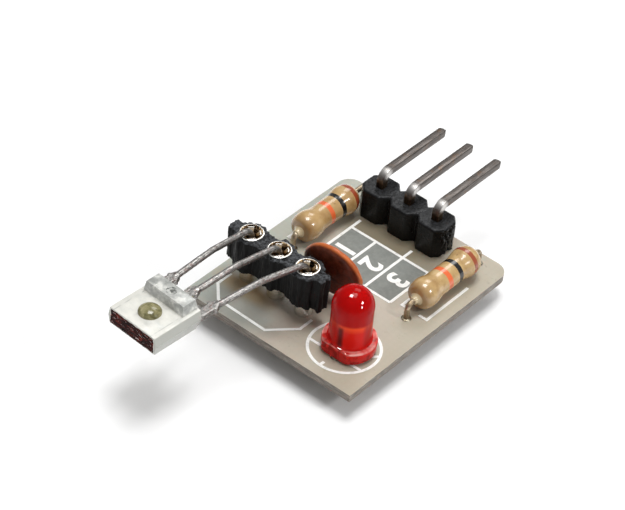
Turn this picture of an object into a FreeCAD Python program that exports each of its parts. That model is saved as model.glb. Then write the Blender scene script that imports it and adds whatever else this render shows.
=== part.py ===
import FreeCAD, Part
import math
import os
import Sketcher
from FreeCAD import Placement, Rotation, Vector

# Laser receiver module: a small board with a bent pin header at the back, a socket strip with
# turned contacts at the front that holds a plugged-in receiver, a red lamp, a disc capacitor and
# two resistors. X runs across the board, Y from the receiver to the header, Z is up, and the
# clipped lead ends stand on Z = 0. Distances named left, front or rear are taken from that edge
# of the board to a contact's or a body's middle. All sizes are in millimetres and degrees.

doc = FreeCAD.newDocument("LaserReceiverModule")
sizes = doc.addObject("Spreadsheet::Sheet", "Sizes")

drivingSizes = [
    # board, copper and solder
    ("board_width", 15.0),
    ("board_length", 18.0),
    ("board_thickness", 0.6),
    ("board_corner_radius", 1.1),
    ("board_shift_distance", 1.976),
    ("tail_length", 1.5),
    ("hole_clearance", 0.1),
    ("copper_thickness", 0.05),
    ("pad_ring_width", 0.4),
    ("track_width", 0.6),
    ("track_turn_length", 2.0),
    ("solder_height", 0.75),
    ("solder_foot_height", 0.28),
    ("solder_skin_thickness", 0.08),
    # pin header
    ("contact_spacing", 2.54),
    ("header_left_distance", 4.28),
    ("header_rear_distance", 1.78),
    ("header_height", 2.5),
    ("header_depth", 2.5),
    ("header_flat_width", 1.4),
    ("header_notch_depth", 0.62),
    ("header_chamfer_width", 0.12),
    ("pin_width", 0.6),
    ("pin_run_height", 3.6),
    ("pin_bend_radius", 0.3),
    ("pin_overhang_length", 5.4),
    ("pin_taper_length", 0.3),
    ("pin_end_width", 0.3),
    # socket strip
    ("socket_left_distance", 2.28),
    ("socket_front_distance", 4.15),
    ("socket_gap_height", 1.35),
    ("socket_height", 2.7),
    ("lobe_radius", 1.25),
    ("lobe_groove_depth", 0.1),
    ("web_depth", 1.7),
    ("stub_length", 0.6),
    ("stub_depth", 1.15),
    ("rim_radius", 0.915),
    ("rim_height", 0.15),
    ("barrel_radius", 0.76),
    ("bore_radius", 0.68),
    ("bore_depth", 1.9),
    ("drill_point_depth", 0.25),
    ("socket_tail_radius", 0.25),
    ("clip_thickness", 0.08),
    ("clip_drop_depth", 0.06),
    ("clip_collar_height", 0.16),
    ("clip_cone_height", 0.6),
    ("clip_length", 1.2),
    ("clip_slot_width", 0.34),
    # receiver
    ("receiver_front_distance", 5.0),
    ("receiver_left_distance", 3.73),
    ("receiver_lead_height", 4.42),
    ("receiver_yaw_angle", -3.3),
    ("package_width", 4.47),
    ("package_length", 4.23),
    ("package_thickness", 1.48),
    ("package_draft_width", 0.13),
    ("package_edge_width", 0.1),
    ("rear_slope_length", 0.35),
    ("rear_slope_height", 0.5),
    ("bar_width", 3.8),
    ("bar_length", 1.45),
    ("bar_height", 0.8),
    ("bar_slope_width", 0.16),
    ("lens_radius", 0.82),
    ("lens_height", 0.42),
    ("lens_seat_depth", 0.2),
    ("lens_rear_distance", 2.62),
    ("lead_radius", 0.24),
    ("lead_spacing", 1.92),
    ("lead_arch_height", 0.32),
    ("lead_bend_radius", 0.85),
    ("lead_arch_radius", 4.25),
    ("lead_plunge_depth", 1.1),
    ("root_width", 0.5),
    ("root_depth", 0.9),
    ("shoulder_width", 0.72),
    ("shoulder_thickness", 0.5),
    ("shoulder_start_length", 0.2),
    ("shoulder_length", 1.5),
    ("shoulder_taper_length", 0.35),
    ("nub_width", 0.9),
    ("nub_length", 0.3),
    ("nub_edge_width", 0.06),
    ("plate_width", 1.6),
    ("plate_thickness", 0.16),
    ("receiver_chip_width", 0.8),
    ("receiver_chip_thickness", 0.15),
    ("bond_wire_radius", 0.035),
    ("bond_arch_height", 0.22),
    # lamp
    ("lamp_left_distance", 11.9),
    ("lamp_front_distance", 3.6),
    ("lamp_gap_height", 0.15),
    ("lamp_radius", 1.5),
    ("lamp_height", 5.23),
    ("flange_radius", 1.95),
    ("flange_height", 0.95),
    ("flange_edge_width", 0.08),
    ("flange_flat_distance", 1.62),
    ("lamp_lead_width", 0.5),
    ("lamp_lead_inset_width", 0.35),
    ("lamp_knee_height", 0.28),
    ("anvil_width", 1.25),
    ("anvil_foot_height", 2.1),
    ("anvil_height", 1.05),
    ("cup_radius", 0.42),
    ("cup_depth", 0.3),
    ("cup_wall_thickness", 0.12),
    ("post_gap_width", 0.25),
    ("post_width", 0.35),
    ("lamp_chip_width", 0.3),
    ("lamp_chip_height", 0.18),
    ("lamp_bond_height", 0.28),
    # capacitor
    ("disc_left_distance", 7.92),
    ("disc_front_distance", 6.4),
    ("disc_radius", 2.42),
    ("disc_thickness", 1.1),
    ("disc_gap_height", 0.42),
    ("disc_lean_angle", 11.0),
    ("disc_yaw_angle", 5.0),
    ("disc_lead_radius", 0.22),
    ("disc_cover_thickness", 0.08),
    ("disc_cover_length", 0.8),
    ("disc_cover_height", 0.25),
    # resistors
    ("left_resistor_left_distance", 2.45),
    ("left_near_gap_length", 0.6),
    ("left_far_gap_length", 1.7),
    ("right_resistor_left_distance", 12.85),
    ("right_near_gap_length", 0.95),
    ("right_far_gap_length", 0.85),
    ("resistor_front_distance", 8.75),
    ("resistor_rear_distance", 1.05),
    ("resistor_gap_height", 0.08),
    ("bulb_radius", 1.12),
    ("waist_radius", 0.95),
    ("resistor_lead_radius", 0.23),
    ("resistor_bend_radius", 0.3),
]
for row, (alias, value) in enumerate(drivingSizes, start=1):
    sizes.set(f"A{row}", alias)
    sizes.set(f"B{row}", str(value))
    sizes.setAlias(f"B{row}", alias)
doc.recompute()


def size(alias):
    return float(getattr(sizes, alias))


# Leads, holes and pads that repeat have eight sides, the receiver's thicker leads twelve, and
# the bond wires four
leadFacets = 8
receiverFacets = 12
bondFacets = 4

underside = size("tail_length")
boardTop = underside + size("board_thickness")
leftEdge = -size("board_width") / 2
frontEdge = size("board_shift_distance") - size("board_length") / 2
rearEdge = size("board_shift_distance") + size("board_length") / 2
leftExpression = "-Sizes.board_width / 2"
frontExpression = "Sizes.board_shift_distance - Sizes.board_length / 2"
rearExpression = "Sizes.board_shift_distance + Sizes.board_length / 2"
topExpression = "Sizes.tail_length + Sizes.board_thickness"

spacing = size("contact_spacing")
halfSpacing = spacing / 2
contactSteps = [0, 1, 2]
nodes = []


def keepNode(shapeObject, name):
    shapeObject.Label = name
    nodes.append(shapeObject)
    return shapeObject


def place(shapeObject, x="0", y="0", z="0"):
    for axis, expression in zip("xyz", (x, y, z)):
        shapeObject.setExpression(f".Placement.Base.{axis}", expression)


def newBody(name):
    return keepNode(doc.addObject("PartDesign::Body", name), name)


def addFeature(name, shape):
    feature = doc.addObject("Part::Feature", name)
    feature.Shape = shape
    return keepNode(feature, name)


def addSketch(body, name, role="XY_Plane"):
    sketch = body.newObject("Sketcher::SketchObject", name)
    plane = next(item for item in body.Origin.OriginFeatures if item.Role == role)
    sketch.AttachmentSupport = [(plane, "")]
    sketch.MapMode = "FlatFace"
    return sketch


def drawOutline(sketch, points):
    """Closes a run of straight edges through the points."""
    first = sketch.GeometryCount
    edges = [Part.LineSegment(Vector(*start, 0), Vector(*end, 0))
             for start, end in zip(points, points[1:] + points[:1])]
    sketch.addGeometry(edges, False)
    corners = [Sketcher.Constraint("Coincident", first + step, 2, first + (step + 1) % len(points), 1)
               for step in range(len(points))]
    sketch.addConstraint(corners)


def addPad(body, name, sketch, length, midplane=False):
    pad = body.newObject("PartDesign::Pad", name)
    pad.Profile = sketch
    pad.setExpression("Length", length)
    if midplane:
        pad.SideType = "Symmetric"
    return pad


def addThroughPocket(body, name, sketch, midplane=False):
    pocket = body.newObject("PartDesign::Pocket", name)
    pocket.Profile = sketch
    pocket.Type = "ThroughAll"
    if midplane:
        pocket.SideType = "Symmetric"
    else:
        pocket.Reversed = True
    return pocket


def addRevolution(body, name, sketch):
    turned = body.newObject("PartDesign::Revolution", name)
    turned.Profile = sketch
    turned.ReferenceAxis = (sketch, ["V_Axis"])
    turned.Angle = 360
    return turned


def edgesWhere(shape, test):
    return [f"Edge{number}" for number, edge in enumerate(shape.Edges, start=1) if test(edge)]


def ringPoints(x, y, radius, facets=leadFacets):
    angles = [2 * math.pi * (step + 0.5) / facets for step in range(facets)]
    return [(x + radius * math.cos(angle), y + radius * math.sin(angle)) for angle in angles]


def extruded(points, toSpace, direction):
    corners = [toSpace(*point) for point in points]
    return Part.Face(Part.makePolygon(corners + corners[:1])).extrude(direction)


def prism(points, level, height):
    return extruded(points, lambda x, y: Vector(x, y, level), Vector(0, 0, height))


def bentWire(points, bendRadii, wireRadius, facets=leadFacets):
    """A wire through points of one plane, with an arc of the given radius at each inner point."""
    edges = []
    start = points[0]
    for before, corner, after, radius in zip(points, points[1:], points[2:], bendRadii):
        inward = (before - corner).normalize()
        outward = (after - corner).normalize()
        halfTurn = (math.pi - inward.getAngle(outward)) / 2
        cutBack = radius * math.tan(halfTurn)
        arcStart = corner + inward * cutBack
        arcEnd = corner + outward * cutBack
        towards = (inward + outward).normalize()
        arcMiddle = corner + towards * (radius / math.cos(halfTurn) - radius)
        edges.append(Part.LineSegment(start, arcStart).toShape())
        edges.append(Part.Arc(arcStart, arcMiddle, arcEnd).toShape())
        start = arcEnd
    edges.append(Part.LineSegment(start, points[-1]).toShape())
    along = (points[1] - points[0]).normalize()
    across = along.cross(points[2] - points[1]).normalize()
    upward = along.cross(across)
    section = [points[0] + across * u + upward * v for u, v in ringPoints(0, 0, wireRadius, facets)]
    return Part.Wire(edges).makePipeShell([Part.makePolygon(section + section[:1])], True, True)


# Where every lead goes through the board: name, x, y and the radius that its hole has to pass
pinCorner = size("pin_width") / math.sqrt(2)
lampCorner = size("lamp_lead_width") / math.sqrt(2)
headerX = leftEdge + size("header_left_distance")
headerY = rearEdge - size("header_rear_distance")
socketX = leftEdge + size("socket_left_distance")
socketY = frontEdge + size("socket_front_distance")
lampX = leftEdge + size("lamp_left_distance")
lampY = frontEdge + size("lamp_front_distance")
discX = leftEdge + size("disc_left_distance")
discY = frontEdge + size("disc_front_distance")
discLeadShare = 0.85
discLeadY = discY + discLeadShare * size("disc_radius") * math.sin(math.radians(size("disc_lean_angle")))
resistorX = {side: leftEdge + size(f"{side}_resistor_left_distance") for side in ("left", "right")}
nearLeadY = frontEdge + size("resistor_front_distance")
farLeadY = rearEdge - size("resistor_rear_distance")

leadPlaces = {}
for step in contactSteps:
    leadPlaces[f"header_{step + 1}"] = (headerX + step * spacing, headerY, pinCorner)
    leadPlaces[f"socket_{step + 1}"] = (socketX + step * spacing, socketY, size("socket_tail_radius"))
for end, side in ((1, -1), (2, 1)):
    leadPlaces[f"lamp_{end}"] = (lampX, lampY + side * halfSpacing, lampCorner)
    leadPlaces[f"capacitor_{end}"] = (discX + side * halfSpacing, discLeadY, size("disc_lead_radius"))
for side, x in resistorX.items():
    leadPlaces[f"resistor_{side}_1"] = (x, nearLeadY, size("resistor_lead_radius"))
    leadPlaces[f"resistor_{side}_2"] = (x, farLeadY, size("resistor_lead_radius"))


# Circuit board: sharp front corners, rounded rear corners, one hole for each lead
board = newBody("circuit_board")
place(board, "0", "Sizes.board_shift_distance", "Sizes.tail_length")
outline = addSketch(board, "board_outline")
halfWidth = size("board_width") / 2
halfLength = size("board_length") / 2
drawOutline(outline, [(-halfWidth, -halfLength), (halfWidth, -halfLength),
                      (halfWidth, halfLength), (-halfWidth, halfLength)])
sheet = addPad(board, "board_sheet", outline, "Sizes.board_thickness")
doc.recompute()
corners = board.newObject("PartDesign::Fillet", "board_corners")
corners.Base = (sheet, edgesWhere(
    sheet.Shape, lambda edge: abs(edge.CenterOfMass.x) > 0.99 * halfWidth
    and edge.CenterOfMass.y > 0.99 * halfLength))
corners.setExpression("Radius", "Sizes.board_corner_radius")
doc.recompute()
drilling = addSketch(board, "board_holes")
for x, y, radius in leadPlaces.values():
    drawOutline(drilling, ringPoints(x, y - size("board_shift_distance"), radius + size("hole_clearance")))
addThroughPocket(board, "board_drilled", drilling)


# Copper on the underside: a ring at each hole and the tracks that join them. A turn runs
# straight from the last place until it is one turn length short of the next.
copperNets = [
    ["header_1", "turn", "socket_2"],
    ["header_1", "resistor_left_2"],
    ["resistor_left_1", "socket_1"],
    ["header_2", "turn", "capacitor_1", "socket_3"],
    ["header_3", "turn", "capacitor_2", "lamp_1"],
    ["header_3", "resistor_right_2"],
    ["resistor_right_1", "lamp_2"],
]
copperLevel = underside - size("copper_thickness")
halfTrack = size("track_width") / 2
copperPieces = []
for stops in copperNets:
    route = []
    for stop, following in zip(stops, stops[1:] + stops[-1:]):
        if stop == "turn":
            route.append((route[-1][0], leadPlaces[following][1] + size("track_turn_length")))
        else:
            route.append(leadPlaces[stop][:2])
    for start, end in zip(route, route[1:]):
        run = Vector(end[0] - start[0], end[1] - start[1], 0)
        track = Part.makeBox(run.Length, 2 * halfTrack, size("copper_thickness"), Vector(0, -halfTrack, 0))
        turn = Rotation(Vector(1, 0, 0), run)
        track.Placement = Placement(Vector(start[0], start[1], copperLevel), turn)
        copperPieces += [track, prism(ringPoints(*end, halfTrack), copperLevel, size("copper_thickness"))]
holeTools = []
for x, y, radius in leadPlaces.values():
    holeRadius = radius + size("hole_clearance")
    padRadius = holeRadius + size("pad_ring_width")
    copperPieces.append(prism(ringPoints(x, y, padRadius), copperLevel, size("copper_thickness")))
    holeTools.append(prism(ringPoints(x, y, holeRadius), copperLevel, size("copper_thickness")))
addFeature("copper_tracks", copperPieces[0].multiFuse(copperPieces[1:]).cut(holeTools).removeSplitter())


def solderJoint(x, y, leadRadius, square):
    """Solder that rises from the copper ring to the lead in a steep and a flat slope."""
    foot = leadRadius + size("hole_clearance") + size("pad_ring_width") - size("solder_skin_thickness")
    tip = leadRadius + size("solder_skin_thickness")
    waist = tip + (foot - tip) / 3
    rings = [(foot, 0), (waist, size("solder_foot_height")), (tip, size("solder_height"))]
    wires = []
    for radius, depth in rings:
        points = [Vector(*point, copperLevel - depth) for point in ringPoints(x, y, radius)]
        wires.append(Part.makePolygon(points + points[:1]))
    cone = Part.makeLoft(wires, True, True)
    if square:
        half = leadRadius / math.sqrt(2)
        core = Part.makeBox(2 * half, 2 * half, underside, Vector(x - half, y - half, 0))
    else:
        core = prism(ringPoints(x, y, leadRadius), 0, underside)
    return cone.cut(core)


solderGroups = {"solder_header": True, "solder_socket": False, "solder_lamp": True,
                "solder_capacitor": False, "solder_resistors": False}
for name, square in solderGroups.items():
    word = name.split("_")[1].rstrip("s")
    joints = [solderJoint(*spot, square) for lead, spot in leadPlaces.items() if lead.startswith(word)]
    addFeature(name, Part.makeCompound(joints))


# Header housing: three eight-sided cells in one moulding, with a square hole for each pin
header = newBody("header_housing")
place(header, f"{leftExpression} + Sizes.header_left_distance",
      f"{rearExpression} - Sizes.header_rear_distance", topExpression)
halfDepth = size("header_depth") / 2
halfFlat = size("header_flat_width") / 2
halfPin = size("pin_width") / 2
notchY = halfDepth - size("header_notch_depth")
lastX = contactSteps[-1] * spacing
frontRun = [(lastX + halfSpacing, -notchY)]
for step in reversed(contactSteps):
    middle = step * spacing
    frontRun = [(middle - halfSpacing, -notchY), (middle - halfFlat, -halfDepth),
                (middle + halfFlat, -halfDepth)] + frontRun
cells = addSketch(header, "header_cells")
drawOutline(cells, frontRun + [(x, -y) for x, y in reversed(frontRun)])
addPad(header, "header_block", cells, "Sizes.header_height")
pinHoles = addSketch(header, "header_pin_holes")
for step in contactSteps:
    x = step * spacing
    drawOutline(pinHoles, [(x - halfPin, -halfPin), (x + halfPin, -halfPin),
                           (x + halfPin, halfPin), (x - halfPin, halfPin)])
pinPocket = addThroughPocket(header, "header_pin_pocket", pinHoles)
doc.recompute()
softTop = header.newObject("PartDesign::Chamfer", "header_top_edges")
softTop.Base = (pinPocket, edgesWhere(
    pinPocket.Shape, lambda edge: edge.CenterOfMass.z > 0.99 * size("header_height")
    and (abs(edge.CenterOfMass.y) > size("pin_width")
         or edge.CenterOfMass.x < -size("pin_width")
         or edge.CenterOfMass.x > lastX + size("pin_width"))))
softTop.setExpression("Size", "Sizes.header_chamfer_width")


# Header pins: square, up through the housing, then bent to run out over the rear edge
def pinSide():
    """The pin's outline seen from the side, along Y and Z from the board's top."""
    low = -boardTop
    level = size("pin_run_height")
    tipY = size("header_rear_distance") + size("pin_overhang_length")
    taperY = tipY - size("pin_taper_length")
    halfEnd = size("pin_end_width") / 2
    inner = size("pin_bend_radius")
    outer = inner + size("pin_width")
    bend = Vector(halfPin + inner, level - halfPin - inner, 0)
    slant = Vector(-math.sqrt(0.5), math.sqrt(0.5), 0)
    outerArc = [Vector(-halfPin, bend.y, 0), bend + slant * outer, Vector(bend.x, level + halfPin, 0)]
    innerArc = [Vector(bend.x, level - halfPin, 0), bend + slant * inner, Vector(halfPin, bend.y, 0)]
    tip = [Vector(taperY, level + halfPin, 0), Vector(tipY, level + halfEnd, 0),
           Vector(tipY, level - halfEnd, 0), Vector(taperY, level - halfPin, 0)]
    foot = [Vector(halfPin, low, 0), Vector(-halfPin, low, 0)]
    runs = [outerArc[-1:] + tip + innerArc[:1], innerArc[-1:] + foot + outerArc[:1]]
    curves = [Part.Arc(*outerArc), Part.Arc(*innerArc)]
    for run in runs:
        curves += [Part.LineSegment(start, end) for start, end in zip(run, run[1:])]
    return curves


tipReach = size("header_rear_distance") + size("pin_overhang_length")
for step in contactSteps:
    pin = newBody(f"header_pin_{step + 1}")
    place(pin, f"{leftExpression} + Sizes.header_left_distance + {step} * Sizes.contact_spacing",
          f"{rearExpression} - Sizes.header_rear_distance", topExpression)
    profile = addSketch(pin, f"pin_side_{step + 1}", "YZ_Plane")
    profile.addGeometry(pinSide(), False)
    addPad(pin, f"pin_bar_{step + 1}", profile, "Sizes.pin_width", midplane=True)
    doc.recompute()
    tipSketch = addSketch(pin, f"pin_tip_{step + 1}")
    for side in (-1, 1):
        drawOutline(tipSketch, [(side * halfPin, tipReach - size("pin_taper_length")),
                                (side * halfPin, tipReach), (side * size("pin_end_width") / 2, tipReach)])
    addThroughPocket(pin, f"pin_tapered_{step + 1}", tipSketch, midplane=True)


# Socket housing: a web with its broken ends, three grooved lobes on it and a bore in each
socketHousing = newBody("socket_housing")
place(socketHousing, f"{leftExpression} + Sizes.socket_left_distance",
      f"{frontExpression} + Sizes.socket_front_distance", f"{topExpression} + Sizes.socket_gap_height")
halfStub = size("stub_depth") / 2
halfWeb = size("web_depth") / 2
brokenEdge = [(0.72, -1.0), (0.9, -0.5), (0.62, -0.1), (1.0, 0.35), (0.7, 0.95)]
webOutline = []
for end, lobeX in ((1, lastX), (-1, 0)):
    stub = [(lobeX + end * (size("lobe_radius") + size("stub_length") * out), end * halfStub * along)
            for out, along in brokenEdge]
    webOutline += [(lobeX, -end * halfWeb), (lobeX + end * halfStub, -end * halfStub)] + stub
    webOutline += [(lobeX + end * halfStub, end * halfStub), (lobeX, end * halfWeb)]
webSketch = addSketch(socketHousing, "socket_web_outline")
drawOutline(webSketch, webOutline)
addPad(socketHousing, "socket_web", webSketch, "Sizes.socket_height")
lobeGrooves = 12
lobeSketch = addSketch(socketHousing, "socket_lobe_outlines")
for step in contactSteps:
    lobe = []
    for groove in range(lobeGrooves):
        for share, inward in ((0, 1), (0.3, 0), (0.7, 0)):
            angle = 2 * math.pi * (groove + share) / lobeGrooves
            reach = size("lobe_radius") - inward * size("lobe_groove_depth")
            lobe.append((step * spacing + reach * math.cos(angle), reach * math.sin(angle)))
    drawOutline(lobeSketch, lobe)
addPad(socketHousing, "socket_lobes", lobeSketch, "Sizes.socket_height")
doc.recompute()
boreSketch = addSketch(socketHousing, "socket_bore_circles")
for step in contactSteps:
    centre = Vector(step * spacing, 0, 0)
    boreSketch.addGeometry(Part.Circle(centre, Vector(0, 0, 1), size("barrel_radius")), False)
addThroughPocket(socketHousing, "socket_bored", boreSketch)


# Socket sleeves: turned, with a rim on the housing, a blind bore and a tail through the board
housingTop = size("socket_gap_height") + size("socket_height")
rimTop = housingTop + size("rim_height")
boreFloor = rimTop - size("bore_depth")
sleeveSide = [
    (0, 0), (size("barrel_radius"), 0), (size("barrel_radius"), housingTop),
    (size("rim_radius"), housingTop), (size("rim_radius"), rimTop), (size("bore_radius"), rimTop),
    (size("bore_radius"), boreFloor), (0, boreFloor - size("drill_point_depth")),
]

# Socket clips: a collar in the bore with four sprung fingers that close on the receiver's lead
clipTop = rimTop - size("clip_drop_depth")
collarFloor = clipTop - size("clip_collar_height")
gripTop = collarFloor - size("clip_cone_height")
gripFloor = clipTop - size("clip_length")
gripOuter = size("lead_radius") + size("clip_thickness")
collarInner = size("bore_radius") - size("clip_thickness")
clipSide = [
    (collarInner, clipTop), (size("bore_radius"), clipTop), (size("bore_radius"), collarFloor),
    (gripOuter, gripTop), (gripOuter, gripFloor), (size("lead_radius"), gripFloor),
    (size("lead_radius"), gripTop),
]
halfSlot = size("clip_slot_width") / 2
slotPoints = [(-halfSlot, gripFloor), (halfSlot, gripFloor), (halfSlot, collarFloor), (-halfSlot, collarFloor)]
for step in contactSteps:
    contactX = f"{leftExpression} + Sizes.socket_left_distance + {step} * Sizes.contact_spacing"
    contactY = f"{frontExpression} + Sizes.socket_front_distance"
    for name, side in (("sleeve", sleeveSide), ("clip", clipSide)):
        contact = newBody(f"socket_{name}_{step + 1}")
        place(contact, contactX, contactY, topExpression)
        profile = addSketch(contact, f"{name}_side_{step + 1}", "XZ_Plane")
        drawOutline(profile, side)
        addRevolution(contact, f"{name}_turned_{step + 1}", profile)
        if name == "sleeve":
            tailSketch = addSketch(contact, f"sleeve_tail_outline_{step + 1}")
            drawOutline(tailSketch, ringPoints(0, 0, size("socket_tail_radius")))
            tail = addPad(contact, f"sleeve_tail_{step + 1}", tailSketch,
                          "Sizes.tail_length + Sizes.board_thickness")
            tail.Reversed = True
    doc.recompute()
    slotSketch = addSketch(contact, f"clip_slot_{step + 1}", "XZ_Plane")
    drawOutline(slotSketch, slotPoints)
    slot = addThroughPocket(contact, f"clip_slotted_{step + 1}", slotSketch, midplane=True)
    doc.recompute()
    fingers = contact.newObject("PartDesign::PolarPattern", f"clip_fingers_{step + 1}")
    fingers.Originals = [slot]
    upright = next(item for item in contact.Origin.OriginFeatures if item.Role == "Z_Axis")
    fingers.Axis = (upright, [""])
    fingers.Angle = 180
    fingers.Occurrences = 2
    contact.Tip = fingers


# Receiver: its own frame starts at the middle of the package's rear face, level with the leads
receiverPlace = Placement(
    Vector(leftEdge + size("receiver_left_distance"), frontEdge - size("receiver_front_distance"),
           boardTop + size("receiver_lead_height")),
    Rotation(Vector(0, 0, 1), size("receiver_yaw_angle")))
halfThick = size("package_thickness") / 2
barTop = halfThick + size("bar_height")
packageEnd = -size("package_length")
packageSide = [
    (packageEnd, -halfThick + size("package_edge_width")),
    (packageEnd + size("package_edge_width"), -halfThick), (-size("rear_slope_length"), -halfThick),
    (0, -halfThick + size("rear_slope_height")), (0, halfThick), (-size("bar_slope_width"), barTop),
    (-size("bar_length") + size("bar_slope_width"), barTop), (-size("bar_length"), halfThick),
    (packageEnd, halfThick),
]
halfPackage = size("package_width") / 2
halfTop = halfPackage - size("package_draft_width")
halfBar = size("bar_width") / 2
rightFront = [(halfTop, -halfThick), (halfPackage, 0), (halfTop, halfThick), (halfBar, halfThick),
              (halfBar - size("bar_slope_width"), barTop)]
packageFront = rightFront + [(-x, z) for x, z in reversed(rightFront)]
sideBlock = extruded(packageSide, lambda y, z: Vector(-halfPackage, y, z), Vector(2 * halfPackage, 0, 0))
frontBlock = extruded(packageFront, lambda x, z: Vector(x, packageEnd, z), Vector(0, -packageEnd, 0))
package = sideBlock.common(frontBlock)

# Lens: a domed button let into the package's top face
lensY = -size("lens_rear_distance")
domeRadius = (size("lens_radius") ** 2 + size("lens_height") ** 2) / (2 * size("lens_height"))
domeCentre = Vector(0, lensY, halfThick + size("lens_height") - domeRadius)
lensStem = Part.makeCylinder(size("lens_radius"), size("lens_seat_depth") + size("lens_height"),
                             Vector(0, lensY, halfThick - size("lens_seat_depth")))
lens = lensStem.common(Part.makeSphere(domeRadius, domeCentre))


def squareBlock(width, thickness, level):
    return Part.makeBox(width, width, thickness, Vector(-width / 2, lensY - width / 2, level))


# Carrier plate on the middle lead, and the chip on it under the lens
plateTop = size("plate_thickness") / 2
plate = squareBlock(size("plate_width"), size("plate_thickness"), -plateTop)
chip = squareBlock(size("receiver_chip_width"), size("receiver_chip_thickness"), plateTop)


def receiverLead(step):
    """A flat root in the package, a wide shoulder with nubs behind it, then a wire that arches
    to its socket and bends down into the clip."""
    offset = (step - 1) * size("lead_spacing")
    rootDepth = size("root_depth")
    if step == 1:
        rootDepth = size("lens_rear_distance") - size("plate_width") / 2
    halfRoot = size("root_width") / 2
    halfShoulder = size("shoulder_width") / 2
    halfNub = size("nub_width") / 2
    shoulderStart = size("shoulder_start_length")
    shoulderEnd = size("shoulder_length")
    nubStart = shoulderEnd - size("nub_length")
    nubEdge = size("nub_edge_width")
    taperEnd = shoulderEnd + size("shoulder_taper_length")
    rightSide = [(halfRoot, -rootDepth), (halfRoot, 0), (halfShoulder, shoulderStart),
                 (halfShoulder, nubStart), (halfNub, nubStart + nubEdge), (halfNub, shoulderEnd - nubEdge),
                 (halfShoulder, shoulderEnd), (size("lead_radius"), taperEnd)]
    flatOutline = [(offset + x, y) for x, y in rightSide]
    flatOutline += [(offset - x, y) for x, y in reversed(rightSide)]
    flat = prism(flatOutline, -size("shoulder_thickness") / 2, size("shoulder_thickness"))
    if step == 1:
        flat = flat.fuse(plate)
    flat.Placement = receiverPlace
    start = receiverPlace.multVec(Vector(offset, nubStart, 0))
    crest = boardTop + rimTop + size("lead_radius") + size("clip_drop_depth")
    corner = Vector(socketX + step * spacing, socketY, crest)
    middle = (start + corner) * 0.5
    middle.z = crest + size("lead_arch_height")
    end = Vector(corner.x, corner.y, boardTop + rimTop - size("lead_plunge_depth"))
    bends = [size("lead_arch_radius"), size("lead_bend_radius")]
    return flat.fuse(bentWire([start, middle, corner, end], bends, size("lead_radius"), receiverFacets))


receiverLeads = [receiverLead(step) for step in contactSteps]

# Bond wires from the chip's corners to the roots of the outer leads
chipTop = plateTop + size("receiver_chip_thickness")
bondWires = []
for side in (-1, 1):
    inset = size("receiver_chip_width") / 3
    onChip = Vector(side * inset, lensY + inset, chipTop)
    onRoot = Vector(side * size("lead_spacing"), -size("root_depth") + halfPin, size("shoulder_thickness") / 2)
    over = (onChip + onRoot) * 0.5 + Vector(0, 0, size("bond_arch_height"))
    bondWires.append(bentWire([onChip, over, onRoot], [size("bond_arch_height")],
                              size("bond_wire_radius"), bondFacets))
for shape in [package, lens, chip] + bondWires:
    shape.Placement = receiverPlace
bonds = Part.makeCompound(bondWires).cut([chip] + receiverLeads)
addFeature("receiver_package", package.cut([lens, chip, bonds] + receiverLeads).removeSplitter())
addFeature("receiver_lens", lens)
addFeature("receiver_chip", chip)
addFeature("receiver_bond_wires", bonds)
for step, lead in zip(contactSteps, receiverLeads):
    addFeature(f"receiver_lead_{step + 1}", lead.removeSplitter())


# Lamp: a turned red lens with a flange that has one flat side, moulded round two leads. In the
# lamp's own frame the leads lie along X, and the one with the cup is on the flat's side.
domeLevel = size("lamp_height") - size("lamp_radius")
flangeRadius = size("flange_radius")
flangeEdge = size("flange_edge_width")
lampRun = [
    Vector(0, size("lamp_height"), 0), Vector(0, 0, 0), Vector(flangeRadius, 0, 0),
    Vector(flangeRadius, size("flange_height") - flangeEdge, 0),
    Vector(flangeRadius - flangeEdge, size("flange_height"), 0),
    Vector(size("lamp_radius"), size("flange_height"), 0), Vector(size("lamp_radius"), domeLevel, 0),
]
domeSlant = size("lamp_radius") * math.sqrt(0.5)
lampCurves = [Part.LineSegment(start, end) for start, end in zip(lampRun, lampRun[1:])]
lampCurves.append(Part.Arc(lampRun[-1], Vector(domeSlant, domeLevel + domeSlant, 0), lampRun[0]))
lampBlank = doc.addObject("PartDesign::Body", "lamp_blank")
lampSketch = addSketch(lampBlank, "lamp_side", "XZ_Plane")
lampSketch.addGeometry(lampCurves, False)
addRevolution(lampBlank, "lamp_turned", lampSketch)
doc.recompute()
flatSketch = addSketch(lampBlank, "lamp_flat_outline")
drawOutline(flatSketch, [(-flangeRadius, -flangeRadius), (-size("flange_flat_distance"), -flangeRadius),
                         (-size("flange_flat_distance"), flangeRadius), (-flangeRadius, flangeRadius)])
flatCut = lampBlank.newObject("PartDesign::Pocket", "lamp_flat")
flatCut.Profile = flatSketch
flatCut.Reversed = True
flatCut.setExpression("Length", "Sizes.flange_height")
doc.recompute()

leadWidth = size("lamp_lead_width")
halfLead = leadWidth / 2
foot = -(boardTop + size("lamp_gap_height"))
kneeLow = size("lamp_knee_height")
kneeHigh = kneeLow + size("lamp_lead_inset_width")
neckX = halfSpacing - size("lamp_lead_inset_width")
anvilFoot = size("anvil_foot_height")
anvilTop = anvilFoot + size("anvil_height")
cupX = 0.08 * size("anvil_width")
cupFloor = anvilTop - size("cup_depth")
anvilInner = size("anvil_width") / 2 - cupX
postInner = anvilInner + size("post_gap_width")
postOuter = postInner + size("post_width")


def lampFrame(side, head):
    """One lead: straight through the flange, a knee inwards, then the head's outline."""
    lead = side * halfSpacing
    neck = side * neckX
    lower = [(lead + halfLead, kneeLow), (lead + halfLead, foot), (lead - halfLead, foot), (lead - halfLead, kneeLow)]
    outline = [(neck + halfLead, kneeHigh)] + lower + [(neck - halfLead, kneeHigh)] + head
    return extruded(outline, lambda x, z: Vector(x, -halfLead, z), Vector(0, leadWidth, 0))


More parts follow.
